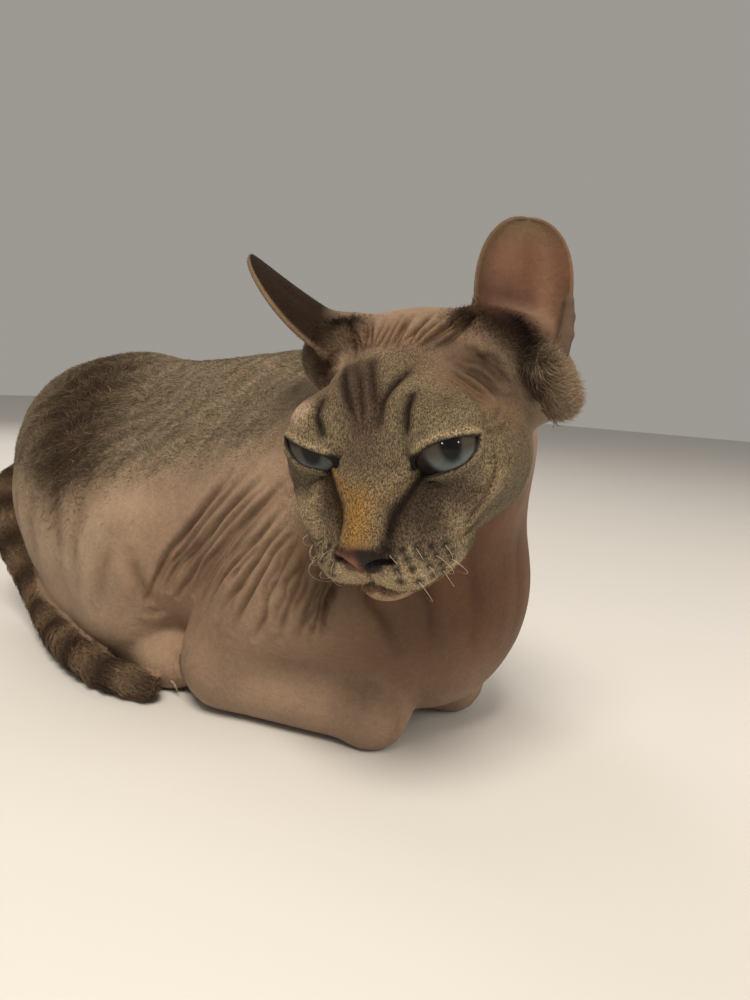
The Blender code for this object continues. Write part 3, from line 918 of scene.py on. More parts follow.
def mottle(points):
    """Waves of the furry parts that run up and forward, from -1 to 1."""
    x, y, z = points.T
    across = 0.8 * y + 0.6 * z + 0.25 * x
    along = 0.8 * z - 0.6 * y
    first = np.sin(across / 2.6 + 1.7 * np.sin(along / 8.0 + x / 13.0))
    second = np.sin(across / 1.6 + 1.5 * np.sin(along / 5.0 - x / 8.0) + 2.0)
    return 0.6 * first + 0.4 * second


# Folds: lines on the skin where it sinks, with a soft ridge on either side

Fold = namedtuple("Fold", "where route width depth")


def snapped(where, route):
    """A route in a frame, drawn onto the skin and made smooth, in the figure's coordinates."""
    if len(route) > 1:
        route = smooth_route(route, 4)
    points = out_of(where, np.array(route, float))
    return settle(points, coat_depth(points), 8.0, 5)


def on_skin(where, route, flip=1):
    """The same in the frame's own coordinates. With flip at -1 it is the mirrored route."""
    return seen_from(where, snapped(where, np.array(route) * (flip, 1, 1)))


def both_folds(where, lines):
    """Folds of several (route, width, depth) lines and their mirror images."""
    return [Fold(where, way(line[0]), *line[1:]) for line in lines for way in (list, mirror)]


FROWN = {
    "left": [(12.7, 1, 14), (12.4, 4, 10), (11.6, 7.7, 5.3)],
    "right": [(-17.4, 2.3, 13.1), (-18, 6.9, 10.4), (-15.6, 9.9, 5.6)],
    "middle": [(8.4, -8.1, 17.3), (5, -2.3, 15.2), (2.8, 2.2, 11.9), (2.4, 7, 7)],
}
STRIPES = [
    [(-17, -14, 17), (-13.1, -7, 15.9), (-7.7, 3.2, 11.9), (-4.6, 6.6, 6.7)],
    [(-11, -12, 18.5), (-6.2, -3.3, 15.7), (-3.7, 3.3, 10.9), (-3, 7, 6)],
    [(-5, -12, 19), (-2.5, -4.8, 16.6), (0.5, 2.6, 11.5), (1, 6, 7)],
]


def frown_folds():
    folds = [Fold(HEAD, route, 1.1, 1.0) for route in FROWN.values()]
    return folds + [Fold(HEAD, route, 0.9, 0.8) for route in STRIPES]


def crown_folds():
    """Wrinkles between the ears that run back and outward, with smaller ones in between."""
    folds = []
    rng = np.random.default_rng(2)
    for i in range(17):
        x = -17 + 2.3 * i + rng.uniform(-0.5, 0.5)
        lean = 1.0 + 0.16 * x + rng.uniform(-0.8, 0.8)
        start, end = rng.uniform(-22, -16), rng.uniform(-36, -30)
        middle = (x + 0.4 * lean, (start + end) / 2, 24)
        route = [(x - lean, start, 22), middle, (x + 2.2 * lean, end, 25.5)]
        folds.append(Fold(HEAD, route, rng.uniform(0.7, 1.0), rng.uniform(1.1, 1.9)))
    return folds


def temple_folds():
    """Wrinkles over the bare temple, from the crown out and down."""
    lines = []
    rng = np.random.default_rng(3)
    upper = np.array([(19, -25, 20), (29, -28, 15), (37, -28, 5)], float)
    lower = np.array([(17, -11, 16), (27, -13, 9), (35, -17, -1)], float)
    for i in range(1, 9):
        share = (i + rng.uniform(-0.2, 0.2)) / 8
        route = upper + share * (lower - upper)
        route[0] += rng.uniform(0, 0.45) * (route[1] - route[0])
        route[2] += rng.uniform(0, 0.6) * (route[1] - route[2])
        lines.append((route, rng.uniform(0.9, 1.3), rng.uniform(0.5, 1.0)))
    return both_folds(HEAD, lines)


CHEEK_LINE = [(36, -1, -4), (36.4, 2.4, -10), (34.5, 5.8, -15.5), (31.8, 9.4, -18.7), (27.6, 16.3, -23.4)]


def cheek_folds():
    lines = [
        ([(23, 16, -25), (29, 9, -24.5), (34, -2, -21)], 1.1, 0.8),
        ([(23, 13, -31), (30, 4, -29), (35, -8, -26)], 1.2, 0.9),
        ([(20, 12, -37), (27, 2, -35), (32, -10, -32)], 1.4, 0.9),
        (CHEEK_LINE, 0.9, 0.9),
        ([(38.5, -6, -5), (38.5, -4, -12), (36.5, 1, -18.5)], 0.9, 0.6),
        ([(35, -1, 0.5), (37, -7, 0), (38, -13, -2)], 0.8, 0.7),
        ([(35, -3, 5), (38, -10, 4), (38, -18, 4)], 0.9, 0.5),
        ([(26, 11, -14.5), (31, 5, -14), (34, 0, -10)], 0.9, 0.6),
    ]
    return both_folds(HEAD, lines)


MOUTH = [(0, 28.5, -38.4), (4.7, 27.5, -40.6), (9, 28.4, -39.8), (13.7, 28.4, -38.5), (17.5, 26.5, -38)]
MOUTH += [(20.5, 23, -37), (23.5, 17, -35.5), (27, 8, -31)]
LOWER_LIP = [(0, 26.6, -43), (4, 25.6, -45), (8, 24, -45), (13, 22.5, -43.5), (18, 19, -42)]


def muzzle_folds():
    philtrum = Fold(HEAD, [(0, 35, -29), (0, 34, -34), (0, 31, -38)], 0.7, 1.3)
    tear = [(9.9, 14.3, -8.2), (9.6, 18, -11.5), (9.4, 21.2, -14.2), (8.6, 28.1, -22.2)]
    return [philtrum, *both_folds(HEAD, [(MOUTH, 0.8, 2.0), (tear, 1.5, 1.5)])]


FLANK_LINES = np.array(  # y and z of lines from behind the elbow up to the neck
    [
        [(-4, 40), (-12, 58), (-24, 74), (-42, 92), (-64, 110)],
        [(-14, 42), (-22, 56), (-37, 71), (-58, 89), (-84, 112)],
        [(-27, 43), (-40, 60), (-57, 75), (-75, 93), (-92, 108)],
        [(-50, 44), (-58, 58), (-68, 70), (-80, 82), (-92, 98)],
        [(-78, 44), (-84, 56), (-89, 67), (-94, 79), (-100, 90)],
        [(-98, 44), (-102, 54), (-106, 65), (-109, 74), (-110, 84)],
        [(-112, 44), (-112, 52), (-115, 60), (-117, 68), (-118, 78)],
    ],
    float,
)
FLANK_COUNT = 27


def flank_folds():
    """Folds that fan from behind the elbow up to the neck, on both sides."""
    folds = []
    rng = np.random.default_rng(5)
    last = len(FLANK_LINES) - 1
    for side in (1, -1):
        for i in range(FLANK_COUNT):
            line = np.clip(last * i / (FLANK_COUNT - 1) + rng.uniform(-0.07, 0.07), 0, last)
            low = min(int(line), last - 1)
            points = FLANK_LINES[low] + (line - low) * (FLANK_LINES[low + 1] - FLANK_LINES[low])
            long = i % 2 == 0
            first = rng.uniform(0, 0.4) if long else rng.uniform(0.2, 1.6)
            shares = np.linspace(first, rng.uniform(3.5, 4.0) if long else rng.uniform(2.6, 3.6), 6)
            wander = rng.uniform(-1.2, 1.2, 6)
            route = [
                (side * 60, np.interp(s, range(5), points[:, 0]) + w, np.interp(s, range(5), points[:, 1]))
                for s, w in zip(shares, wander)
            ]
            folds.append(Fold(BODY, route, rng.uniform(1.2, 1.7), rng.uniform(1.8, 2.9) if long else 1.5))
    return folds


def trunk_folds():
    """Shallow folds down the sides, and upright ones on the chest."""
    sides = [
        ([(-69, -2, 62), (-66, -6, 50), (-62, -10, 38)], 3.0, 1.8),
        ([(-66, 10, 66), (-68, 14, 50), (-66, 18, 38)], 4.0, 0.9),
        ([(-68, 34, 84), (-72, 36, 64), (-72, 34, 46)], 5.0, 0.9),
        ([(-68, 60, 88), (-74, 58, 68), (-74, 54, 48)], 5.0, 0.8),
        ([(-66, 84, 84), (-70, 84, 64), (-68, 84, 44)], 5.0, 0.8),
        ([(-64, 104, 84), (-64, 108, 64), (-60, 108, 44)], 5.0, 0.8),
    ]
    chest = [
        ([(-50, -121, 84), (-47, -123, 66), (-41, -125, 58), (-36, -127, 46)], 2.4, 1.9),
        ([(-38, -136, 86), (-33, -140, 66), (-28, -140, 46)], 2.6, 0.8),
        ([(-20, -148, 90), (-16, -151, 66), (-14, -146, 44)], 3.0, 0.6),
        ([(6, -150, 98), (8, -153, 72), (8, -149, 48)], 3.2, 0.6),
        ([(24, -144, 96), (28, -147, 72), (26, -143, 48)], 3.0, 0.7),
        ([(40, -132, 92), (46, -132, 70), (42, -130, 48)], 2.8, 0.9),
    ]
    return both_folds(BODY, sides) + [Fold(BODY, *line) for line in chest]


def toe_folds():
    """The clefts between the toes."""
    folds = []
    for side in (-1, 1):
        for offset in (-6, 0, 6):
            x = side * 50 + offset
            folds.append(Fold(BODY, [(x, -28, 5), (x, -26, 14), (x * 0.995, -17, 20)], 1.0, 1.6))
            y = -118 + 5.2 * (offset / 6)
            folds.append(Fold(BODY, [(side * 6, -97 + offset, 3), (side * 3, -97 + offset, 12)], 1.0, 1.3))
            folds.append(Fold(BODY, [(side * 30, y - 6, 4), (side * 28, y - 4, 20)], 1.0, 0.4))
    return folds


def all_folds():
    folds = frown_folds() + crown_folds() + temple_folds() + cheek_folds() + muzzle_folds()
    return folds + flank_folds() + trunk_folds() + toe_folds()


HIGHEST_RIDGE = 0.45


def folded(points, normals):
    """The points sunk along the folds, and how deep in a fold each one is, from 0 to 1."""
    sink = np.zeros(len(points))
    valley = np.zeros(len(points))
    for fold in all_folds():
        route = snapped(fold.where, fold.route)
        ends = taper(points, route)
        distance = route_distance(points, route, 4.0 * fold.width) / fold.width
        sharp = np.maximum(np.exp(-distance / 1.3) - 0.05, 0)
        inner = (0.5 * bell(distance, 0, 1) + 0.5 * sharp) * ends
        outer = bell(distance, 2.2, 1) * (distance < 4.0) * ends
        sink = sink - fold.depth * inner + 0.3 * fold.depth * outer
        valley = np.maximum(valley, inner * min(1, fold.depth))
    sink = sink + nose_relief(points) - 0.7 * furriness(points) * (0.5 - 0.5 * mottle(points))
    return points + normals * np.minimum(sink, HIGHEST_RIDGE)[:, None], valley


NOSE_EDGE = [(-8, -24), (-5, -21.8), (0, -21.2), (5, -21.8), (8, -24), (8.4, -26), (5, -29.4), (1.2, -31.6)]
NOSE_EDGE += [(-1.2, -31.6), (-5, -29.4), (-8.4, -26)]
NOSTRIL = [(2.6, 34, -28.2), (4.4, 33.6, -26.4), (6.6, 32, -26.2), (8.6, 29.6, -27.2)]
WING = [(3.4, 34, -24.6), (6.4, 32.6, -23.8), (9, 30, -25)]


def leather(head):
    """1 on the bare leather of the nose."""
    edge = outside_loop(head[:, (0, 2)], np.array(NOSE_EDGE))
    return (1 - ramp(edge, -0.5, 0.4)) * ramp(head[:, 1], 25, 28)


def nose_relief(points):
    """The leather, its wings and nostrils, and the far pad drawn in."""
    head = seen_from(HEAD, points)
    relief = 0.35 * leather(head)
    for flip in (1, -1):
        relief += 0.5 * near(head, on_skin(HEAD, WING, flip), 1.2)
        relief -= 2.6 * near(head, on_skin(HEAD, NOSTRIL, flip), 1.05)
    relief -= 2.5 * near(head, [(-25, 9, -26), (-21, 16, -31), (-14, 22, -38)], 8)
    return relief - 0.9 * near(head, [(0, 34.2, -27.5), (0, 33.8, -32)], 0.6)


def taper(points, route):
    """1 along the middle of a route and less by its two ends."""
    size = np.linalg.norm(route[-1] - route[0]) + TINY
    result = np.ones(len(points))
    for end in (route[0], route[-1]):
        result *= ramp(lengths(points - end), -0.12 * size, 0.28 * size)
    return result


# Markings: the colours of skin and coat at a place, with painted light and shade among them

SKIN_TONE = (147, 123, 102)
THIGH_TONE = (158, 139, 115)
# Painted shade: skin as dark as it is in the shade under the head, on the chest, the throat, the low flanks
# and under the mouth
CHEST_TONE_IN_SHADE = (90, 60, 37)
BACK_FUR = (109, 97, 78)
DARK_FUR = (74, 59, 48)
STRIPE = (20, 14, 10)
CREAM = (166, 146, 114)
GOLD = (118, 88, 46)
FACE_FUR = (98, 86, 66)
BARE_BROW = (108, 87, 68)
NOSE_SKIN = (128, 84, 62)
NEAR_BLACK = (18, 12, 11)
LIP = (176, 142, 120)
TUFT_FUR = (146, 128, 106)
CROWN_SKIN = (134, 112, 92)
# Painted light: the far side of the face, lit more than the near side
LIT_FAR_BROW = (160, 138, 116)
TAIL_RINGS = (128, 106, 84)
# The lids' dark margin, and the painted shade of the socket at their inner corners
LID_MARGIN_AND_SHADE = (24, 16, 14)
EAR_INSIDE = (108, 78, 60)
EAR_BACK = (32, 20, 8)
# Painted light on the ear's ridge, and painted shade in its cup, over its middle and along its inner edge
EAR_RIDGE_LIGHT = (136, 102, 82)
EAR_CUP_SHADE = (62, 40, 32)
EAR_BULGE_SHADE = (96, 62, 42)
EAR_INNER_EDGE_SHADE = (82, 66, 48)
EAR_TIP = (96, 78, 58)
# Painted light along the edges of the ear's back
EAR_RIM_LIGHT = (120, 100, 76)
# Painted shade in the ear's canal
EAR_CANAL_SHADE = (70, 46, 36)

Mark = namedtuple("Mark", "colour strength reach route")


def mixed(first, second, share):
    share = np.asarray(share, float)[..., None]
    return first * (1 - share) + second * share


def tinted(colours, tone, share):
    return mixed(colours, linear(tone), share)


def in_tone(tone, count):
    return np.tile(linear(tone), (count, 1))


BODY_MARKS = [
    Mark(THIGH_TONE, 0.75, 30, [(66, 84, 66), (70, 40, 62)]),
    # painted shade on the chest under the head, and low on the flanks
    Mark(CHEST_TONE_IN_SHADE, 0.8, 40, [(0, -140, 66), (30, -130, 60)]),
    Mark(CHEST_TONE_IN_SHADE, 0.4, 26, [(56, -30, 50), (56, -60, 40)]),
]

EAR_TUFT = [(42, -30, 10), (46, -31, 2), (49, -31, -5)]
NOSE_SIDE = [(13.8, 27, -24.7), (11.7, 29.4, -26.6), (9.6, 31.2, -29.5), (7, 31.4, -32.5), (5.6, 30.2, -35)]
HEAD_MARKS = [  # on both sides
    Mark(BARE_BROW, 0.9, 11, [(20, -16, 14), (29, -16, 8), (31, -26, 8), (38, -22, -4)]),
    Mark(DARK_FUR, 0.5, 6, [(20, -21, 16), (30, -22, 9), (35, -26, 2)]),
    Mark(DARK_FUR, 0.45, 4, [(15, 3, 12), (24, 2, 12)]),
    Mark(CREAM, 0.5, 7, [(35, 4, -17), (31, 11, -20), (26, 16, -22)]),
    Mark(STRIPE, 0.85, 4.5, [(12, 19.5, -13), (18, 18, -13.5), (26, 13.5, -15)]),
    Mark(DARK_FUR, 0.8, 6.5, [(13, 21, -16), (20, 19, -17), (29, 10, -16)]),
    Mark(STRIPE, 0.6, 5.5, [(13, 22, -17), (21, 21, -18)]),
    Mark(DARK_FUR, 0.6, 4.5, [(10, 27, -21), (15, 24.5, -22)]),
    Mark(STRIPE, 0.45, 2.4, [(29, 13, -25), (33, 5, -24), (36, -3, -20)]),
    Mark(CREAM, 0.75, 7.5, [(6, 30, -34), (13, 25, -33), (18, 18, -34)]),
    Mark(CREAM, 0.6, 6, [(4, 25, -47), (0, 26, -45)]),
    # painted shade in the deep valley from the inner corner of each eye down beside the nose
    Mark(STRIPE, 0.9, 1.5, [(11.5, 14, -6), (9.8, 18, -11), (9.2, 22, -15), (9, 27, -20)]),
    Mark(STRIPE, 0.95, 5.5, [(20, -34, 24), (27, -33, 22), (35, -33, 17)]),
    Mark(DARK_FUR, 0.7, 3.5, [(11, -21, 20), (17, -25, 20)]),
    Mark(CREAM, 0.6, 1.6, NOSE_SIDE),
    Mark(TUFT_FUR, 0.9, 7, EAR_TUFT),
    Mark(STRIPE, 0.8, 2.2, [(38, -31, 13), (41, -28, 6), (42, -26, 0)]),
]

CANAL_MARKS = [  # in and round the mouths of the ears, with painted shade down in their canals
    # painted shade in the canal
    Mark(EAR_CANAL_SHADE, 0.95, 9, [(28, -41, 25), (35, -39, 22), (41, -36, 16), (45, -35, 11)]),
    Mark(DARK_FUR, 0.85, 5.5, [(54, -46, 25), (53, -43, 20), (51, -36, 12)]),
    # painted shade, near black, deepest in the canal's mouth
    Mark(NEAR_BLACK, 0.98, 5, [(35, -36, 20), (41, -31, 12)]),
    Mark(TUFT_FUR, 0.8, 3.0, [(43.5, -30, 12), (46, -31, 5)]),
    Mark(TUFT_FUR, 0.7, 8, [(-43, -37, 14), (-38, -32, 8)]),
]
MIDDLE_MARKS = [Mark(STRIPE, 0.98, 2.3, route) for route in STRIPES]
MIDDLE_MARKS += [Mark(STRIPE, 0.9, 1.6, route) for route in FROWN.values()]
MIDDLE_MARKS += [
    Mark(DARK_FUR, 0.75, 6, [(-10, -10, 18), (-4, -2, 15), (-3, 7, 8)]),
    Mark(DARK_FUR, 0.6, 5, [(9.2, -13.3, 18.9), (4, -16, 20)]),
    Mark(DARK_FUR, 0.7, 5.5, [(-1, 4, 8), (-1, 9, 3), (-1, 13, -3)]),
    Mark(GOLD, 0.95, 5.6, [(-2, 22, -13), (-2, 26, -17), (-1, 29.5, -20)]),
    Mark(STRIPE, 0.6, 1.2, [(-8, 31, -23), (-4, 33, -21.6), (4, 33, -21.6), (8, 31, -23)]),
    Mark(STRIPE, 0.6, 3.5, [(9, 28, -23)]),
    # painted light on the far brow
    Mark(LIT_FAR_BROW, 0.85, 4.5, [(-24, 4, 9), (-27, -3, 7), (-25, -12, 12), (-22, -20, 16.5)]),
    # painted light on the far cheek
    Mark(CREAM, 0.6, 5, [(-25, 14, -19), (-19, 20, -21)]),
    Mark(NEAR_BLACK, 0.9, 2.4, [(8, 29.2, -22.6), (6.6, 31.3, -24.1), (4.4, 32.9, -25.3)]),
    Mark(NEAR_BLACK, 0.6, 2.0, [(4.4, 32.9, -25.3), (1.4, 33.2, -27.6), (0, 33.4, -31)]),
]


def marked(colours, where, points, marks, flip=1):
    """Colours with marks laid on them. With flip at -1 the marks are those of the other side."""
    for mark in marks:
        share = mark.strength * near(points, on_skin(where, mark.route, flip), mark.reach)
        colours = tinted(colours, mark.colour, share)
    return colours


def body_colours(site):
    colours = in_tone(SKIN_TONE, len(site.body))
    for flip in (1, -1):
        colours = marked(colours, BODY, site.body, BODY_MARKS, flip)
    patch = rump_patch(site)
    colours = tinted(tinted(colours, BACK_FUR, 0.9 * site.fur), DARK_FUR, 0.9 * patch)
    # Painted light and shade of the coat's waves: lighter on their crests and darker in their troughs, more
    # on the rump patch
    colours = colours * (1 + mottle(site.body) * site.fur * (0.2 + 0.3 * patch))[:, None]
    rings = 0.5 + 0.5 * np.sin(site.tail_share * 60)
    return mixed(colours, tinted(linear(DARK_FUR), TAIL_RINGS, rings), site.tail)


def nose_colours(colours, head):
    """Pink leather, dark on its left side and along its top, with nostrils painted black as the shade in
    their openings, wider on the left.
    """
    pink = leather(head)
    colours = tinted(colours, NOSE_SKIN, 0.95 * pink)
    near_side = ramp(head[:, 0] + 0.25 * (head[:, 2] + 28), -0.6, 2.6)
    colours = tinted(colours, NEAR_BLACK, 0.9 * pink * near_side)
    colours = tinted(colours, STRIPE, 0.8 * pink * ramp(head[:, 2], -25.5, -22.5))
    for flip in (1, -1):
        hole = on_skin(HEAD, NOSTRIL, flip)
        # painted shade in the nostril's opening
        colours = tinted(colours, NEAR_BLACK, 0.98 * near(head, hole, 1.7 + 0.4 * flip))
        foot = [(flip * 1.6, 33.5, -31.5), (flip * 5, 32.5, -29.5)]
        colours = tinted(colours, NEAR_BLACK, 0.85 * near(head, foot, 1.6))
    return tinted(colours, STRIPE, 0.85 * near(head, [(0, 34, -31), (0, 29, -37.5)], 0.9))


def whisker_spots():
    """Four rows of dark spots on each pad."""
    spots = []
    for row in range(4):
        for column in range(5 - (row == 3)):
            spot = (9 + 3.6 * column + 0.8 * row, 30.5 - 2.3 * column - 0.3 * row)
            spots.append((*spot, -23.4 - 3.1 * row - 0.5 * column))
    return spots


LIP_MARKS = [
    Mark(CREAM, 0.7, 1.8, MOUTH[:7]),
    # painted shade under the upper lip
    Mark(CHEST_TONE_IN_SHADE, 0.85, 2.4, [(x * 0.98, y - 0.8, z - 2.0) for x, y, z in MOUTH[:6]]),
    Mark(LIP, 0.85, 0.9, LOWER_LIP),
    Mark(NEAR_BLACK, 0.95, 0.75, MOUTH[:7]),
]


def lid_colours(colours, head, eye):
    """A pale line round the lids, and their dark margin, which widens at the inner corner into painted
    shade of the deep socket there.
    """
    outside, radius = lid_distance(eye, head)
    outside = outside + 20 * ramp(radius, 15, 18)
    above = ramp(head[:, 2], -10, 4)
    colours = tinted(colours, CREAM, (0.2 + 0.15 * above) * bell(outside, 1.9, 0.9))
    # the dark margin, widened into painted shade at the inner corner
    inner = 1 - ramp(eye.side * head[:, 0], 11, 17)
    return tinted(colours, LID_MARGIN_AND_SHADE, 1 - ramp(outside, 1.8 * inner, 0.6 + 3.0 * inner))


def head_colours(site):
    head = site.head
    _, y, z = head.T
    colours = tinted(in_tone(FACE_FUR, len(head)), SKIN_TONE, ramp(-y, 22, 46))
    colours = tinted(colours, CROWN_SKIN, 0.85 * ramp(z, 15, 21) * ramp(-y, 11, 20))
    # painted shade under the chin and down the throat
    colours = tinted(colours, CHEST_TONE_IN_SHADE, ramp(-z, 38, 52) * ramp(-y, -16, 4))
    spots = [Mark(NEAR_BLACK, 1.0, 1.55, [spot]) for spot in whisker_spots()]
    for marks, flips in ((HEAD_MARKS + spots, (1, -1)), (MIDDLE_MARKS, (1,)), (LIP_MARKS, (1, -1))):
        for flip in flips:
            colours = marked(colours, HEAD, head, marks, flip)
    colours = nose_colours(colours, head)
    for eye in EYES.values():
        colours = lid_colours(colours, head, eye)
    return colours


def ear_colours(colours, site):
    """Warm inside, with painted light on its ridge and painted shade down in its mouth, over its middle and
    along its inner edge, and darker towards its tip. Dark on its back, with painted light along its edges.
    """
    across, share = site.ear_across, site.ear_share
    low = (1 - ramp(share, 0.22, 0.75)) * (1 - ramp(across, 0.1, 0.45))
    gap = ramp(across, 0.8, 0.93) * ramp(share, 0.1, 0.2) * (1 - ramp(share, 0.36, 0.44))
    inside = in_tone(EAR_INSIDE, len(colours))
    # Painted light on the ridge, and painted shade in the cup, over the middle and along the inner edge
    inside = tinted(inside, EAR_RIDGE_LIGHT, 0.8 * bell(across, 0.5, 0.2) * (1 - share))
    inside = tinted(inside, EAR_CUP_SHADE, 0.95 * low)
    inside = tinted(inside, EAR_BULGE_SHADE, 0.7 * bell(across, 0.1, 0.16) * ramp(share, 0.4, 0.7))
    inside = tinted(inside, EAR_INNER_EDGE_SHADE, 0.75 * ramp(-across, 0.62, 0.95))
    inside = tinted(inside, EAR_TIP, 0.8 * ramp(share, 0.72, 0.98))
    inside = tinted(inside, DARK_FUR, 0.85 * gap)
    both = mixed(in_tone(EAR_BACK, len(colours)), inside, site.hollow)
    # painted light along the ear's edges on its back
    rim = ramp(np.abs(across), 0.93, 1.0) * (1 - site.hollow)
    colours = mixed(colours, tinted(both, EAR_RIM_LIGHT, 0.8 * rim), site.ear)
    return marked(colours, HEAD, site.head, CANAL_MARKS)


def markings_and_painted_light(site):
    colours = mixed(body_colours(site), head_colours(site), site.in_head)
    return ear_colours(colours, site)


def ticking(site):
    """How speckled the colour is: most on the furred face, least on bare skin."""
    head = site.head
    bare = near_both(head, [(22, -18, 13), (30, -20, 8)], 11)
    face = ramp(head[:, 1], -34, -12) * (1 - np.clip(bare, 0, 1)) * ramp(head[:, 2], -50, -40)
    nose = near(head, [(0, 34, -23.5), (0, 34, -30)], 5) * ramp(head[:, 1], 29.5, 31.5)
    pad = near_both(head, [(12, 27, -32), (18, 20, -33)], 6)
    face = np.clip((face - nose) * (1 - 0.4 * pad), 0.05, 1)
    body = 0.1 + 0.5 * site.fur
    return (body * (1 - site.in_head) + face * site.in_head) * (1 - 0.9 * site.ear)


# Whiskers and claws


def joined_tubes(name, tubes, material):
    """One object of several tubes, each given as tube() takes it."""
    obj = object_of(name, *joined(tube(*one) for one in tubes))
    turn_faces_out(obj)
    shade_smooth(obj.data)
    finish_piece(obj, material)


def make_whiskers():
    """A few short curled whiskers on each pad, as the breed has."""
    rng = np.random.default_rng(11)
    tubes = []
    for flip in (1, -1):
        for spot in whisker_spots()[::2]:
            root = on_skin(HEAD, [spot], flip)[0]
            way = unit((flip * rng.uniform(0.5, 0.9), rng.uniform(0.1, 0.5), rng.uniform(-0.7, -0.1)))
            curl = unit((flip * -0.3, rng.uniform(-0.8, -0.2), rng.uniform(-1.0, -0.4)))
            length = rng.uniform(7, 14)
            steps = np.linspace(0, 1, 14)[:, None]
            turn = steps * rng.uniform(1.8, 3.6)
            route = root - way * 0.8 + length * (np.sin(turn) * way + (1 - np.cos(turn)) * curl) / 2.0
            tubes.append((out_of(HEAD, route), np.linspace(0.08, 0.03, 14), 5))
    joined_tubes("whiskers", tubes, two_tone("whisker", (170, 150, 125), (222, 205, 182), 900, 0.4))


def make_claws():
    """The tips of the claws of the hind toes."""
    tubes = []
    for side in (-1, 1):
        for offset in (-9, -3, 3, 9):
            root = BODY_AXIS + (side * 50 + offset, -22.5 + 0.1 * abs(offset) ** 1.4, 6.5)
            steps = np.linspace(0, 1, 8)[:, None]
            route = root + steps * (0, -5.2, 0) + steps**2 * (0, 0, -3.4)
            tubes.append((route, np.linspace(1.0, 0.12, 8), 8))
    joined_tubes("claws", tubes, two_tone("claw", (120, 100, 80), (172, 150, 124), 700, 0.3))


# The coat: tapered tufts rooted in the skin, lying along the body

Bed = namedtuple("Bed", "name slot count weight length width lift curl stray rings")
Skin = namedtuple("Skin", "points normals colours site corners areas eye_gap")


def skin_of(mesh, points, colours, site):
    """What the coat asks of the skin, at each of its points."""
    mesh.calc_loop_triangles()
    corners = np.empty(len(mesh.loop_triangles) * 3, np.int32)
    mesh.loop_triangles.foreach_get("vertices", corners)
    corners = corners.reshape(-1, 3)
    edges = points[corners[:, 1:]] - points[corners[:, :1]]
    areas = lengths(np.cross(edges[:, 0], edges[:, 1])) / 2
    gaps = [lid_distance(eye, seen_from(HEAD, points))[0] for eye in EYES.values()]
    return Skin(points, normals_of(mesh), colours, site, corners, areas, np.minimum(*gaps))


def rooted(skin, weight, count, rng):
    """A function that reads values of the skin's points at random roots, thick where weight is."""
    share = skin.areas * weight[skin.corners].mean(axis=1)
    picks = np.searchsorted(np.cumsum(share), rng.uniform(0, share.sum(), count))
    corners = skin.corners[np.minimum(picks, len(share) - 1)]
    first, second = rng.random(count), rng.random(count)
    flip = first + second > 1
    first, second = np.where(flip, 1 - first, first), np.where(flip, 1 - second, second)
    shares = np.stack([1 - first - second, first, second], 1)

    def read(values):
        return np.einsum("ij,ij...->i...", shares, values[corners])

    return read


def tail_way(share):
    """The tail's direction, towards its tip."""
    ways = unit(np.gradient(TAIL_ROUTE, axis=0))
    steps = np.clip(share * (len(ways) - 1), 0, len(ways) - 1)
    return np.stack([np.interp(steps, range(len(ways)), ways[:, axis]) for axis in range(3)], 1)


def lie_of(site, normals):
    """The way the coat lies at each point: from the nose back, and down the sides."""
    low = ramp(-site.body[:, 2], -110, -50)[:, None]
    trunk = np.array((0, 1.0, -0.15)) * (1 - low) + np.array((0, 0.75, -0.65)) * low
    face = unit(site.head - (0, 44, -24)) @ HEAD.axes.T
    ways = trunk * (1 - site.in_head[:, None]) + face * site.in_head[:, None]
    patch = near(site.head, EAR_TUFT, 10)[:, None]
    ways = ways * (1 - patch) + patch * (HEAD.axes @ unit((0.75, -0.25, -0.6)))
    ways = ways * (1 - site.tail[:, None]) + tail_way(site.tail_share) * site.tail[:, None]
    for side, one in EARS.items():
        here = (site.ear * (site.ear_side == EAR_SIGNS[side]))[:, None]
        ways = ways * (1 - here) + one.up * here
    ways -= np.sum(ways * normals, axis=1, keepdims=True) * normals
    return unit(ways)


def swirl(points):
    """Soft waves over the figure, from -1 to 1, that turn the coat's locks together."""
    x, y, z = points.T
    wave = np.sin(x / 5.1 + 1.7 * np.sin(y / 9.0)) + np.sin(y / 4.3 + 1.9 * np.sin(z / 8.0))
    return (wave + np.sin(z / 4.7 + 1.5 * np.sin(x / 7.0))) / 3


def unwrapped(site):
    """Each point's place on flat sheets that share a unit square.

    The trunk's sheet fills the left half and the head's the upper right quarter. Those of the
    tail and the ears lie below the head's.
    """
    body = site.body
    around = np.arctan2(body[:, 0], body[:, 2] - 70) / (2 * math.pi) + 0.5
    u = 0.02 + 0.45 * around
    v = 0.02 + 0.95 * np.clip((body[:, 1] + 165) / 345, 0, 1)
    ways = unit(site.head - (0, -14, -12))
    head_u = 0.52 + 0.45 * (np.arctan2(ways[:, 0], ways[:, 1]) / (2 * math.pi) + 0.5)
    head_v = 0.52 + 0.45 * (np.arcsin(np.clip(ways[:, 2], -1, 1)) / math.pi + 0.5)
    in_head = site.in_head > 0.5
    u, v = np.where(in_head, head_u, u), np.where(in_head, head_v, v)
    on_tail = site.tail > 0.5
    u = np.where(on_tail, 0.52 + 0.45 * (around % 1), u)
    v = np.where(on_tail, 0.02 + 0.2 * site.tail_share, v)
    on_ear = site.ear > 0.5
    corner = np.where(site.ear_side > 0, 0.52, 0.76)
    u = np.where(on_ear, corner + 0.1 * (site.hollow > 0.5) + 0.09 * (site.ear_across + 1) / 2, u)
    return np.stack([u, np.where(on_ear, 0.26 + 0.2 * site.ear_share, v)], 1)


PATCH = 0.003  # the size of a tuft on its sheet


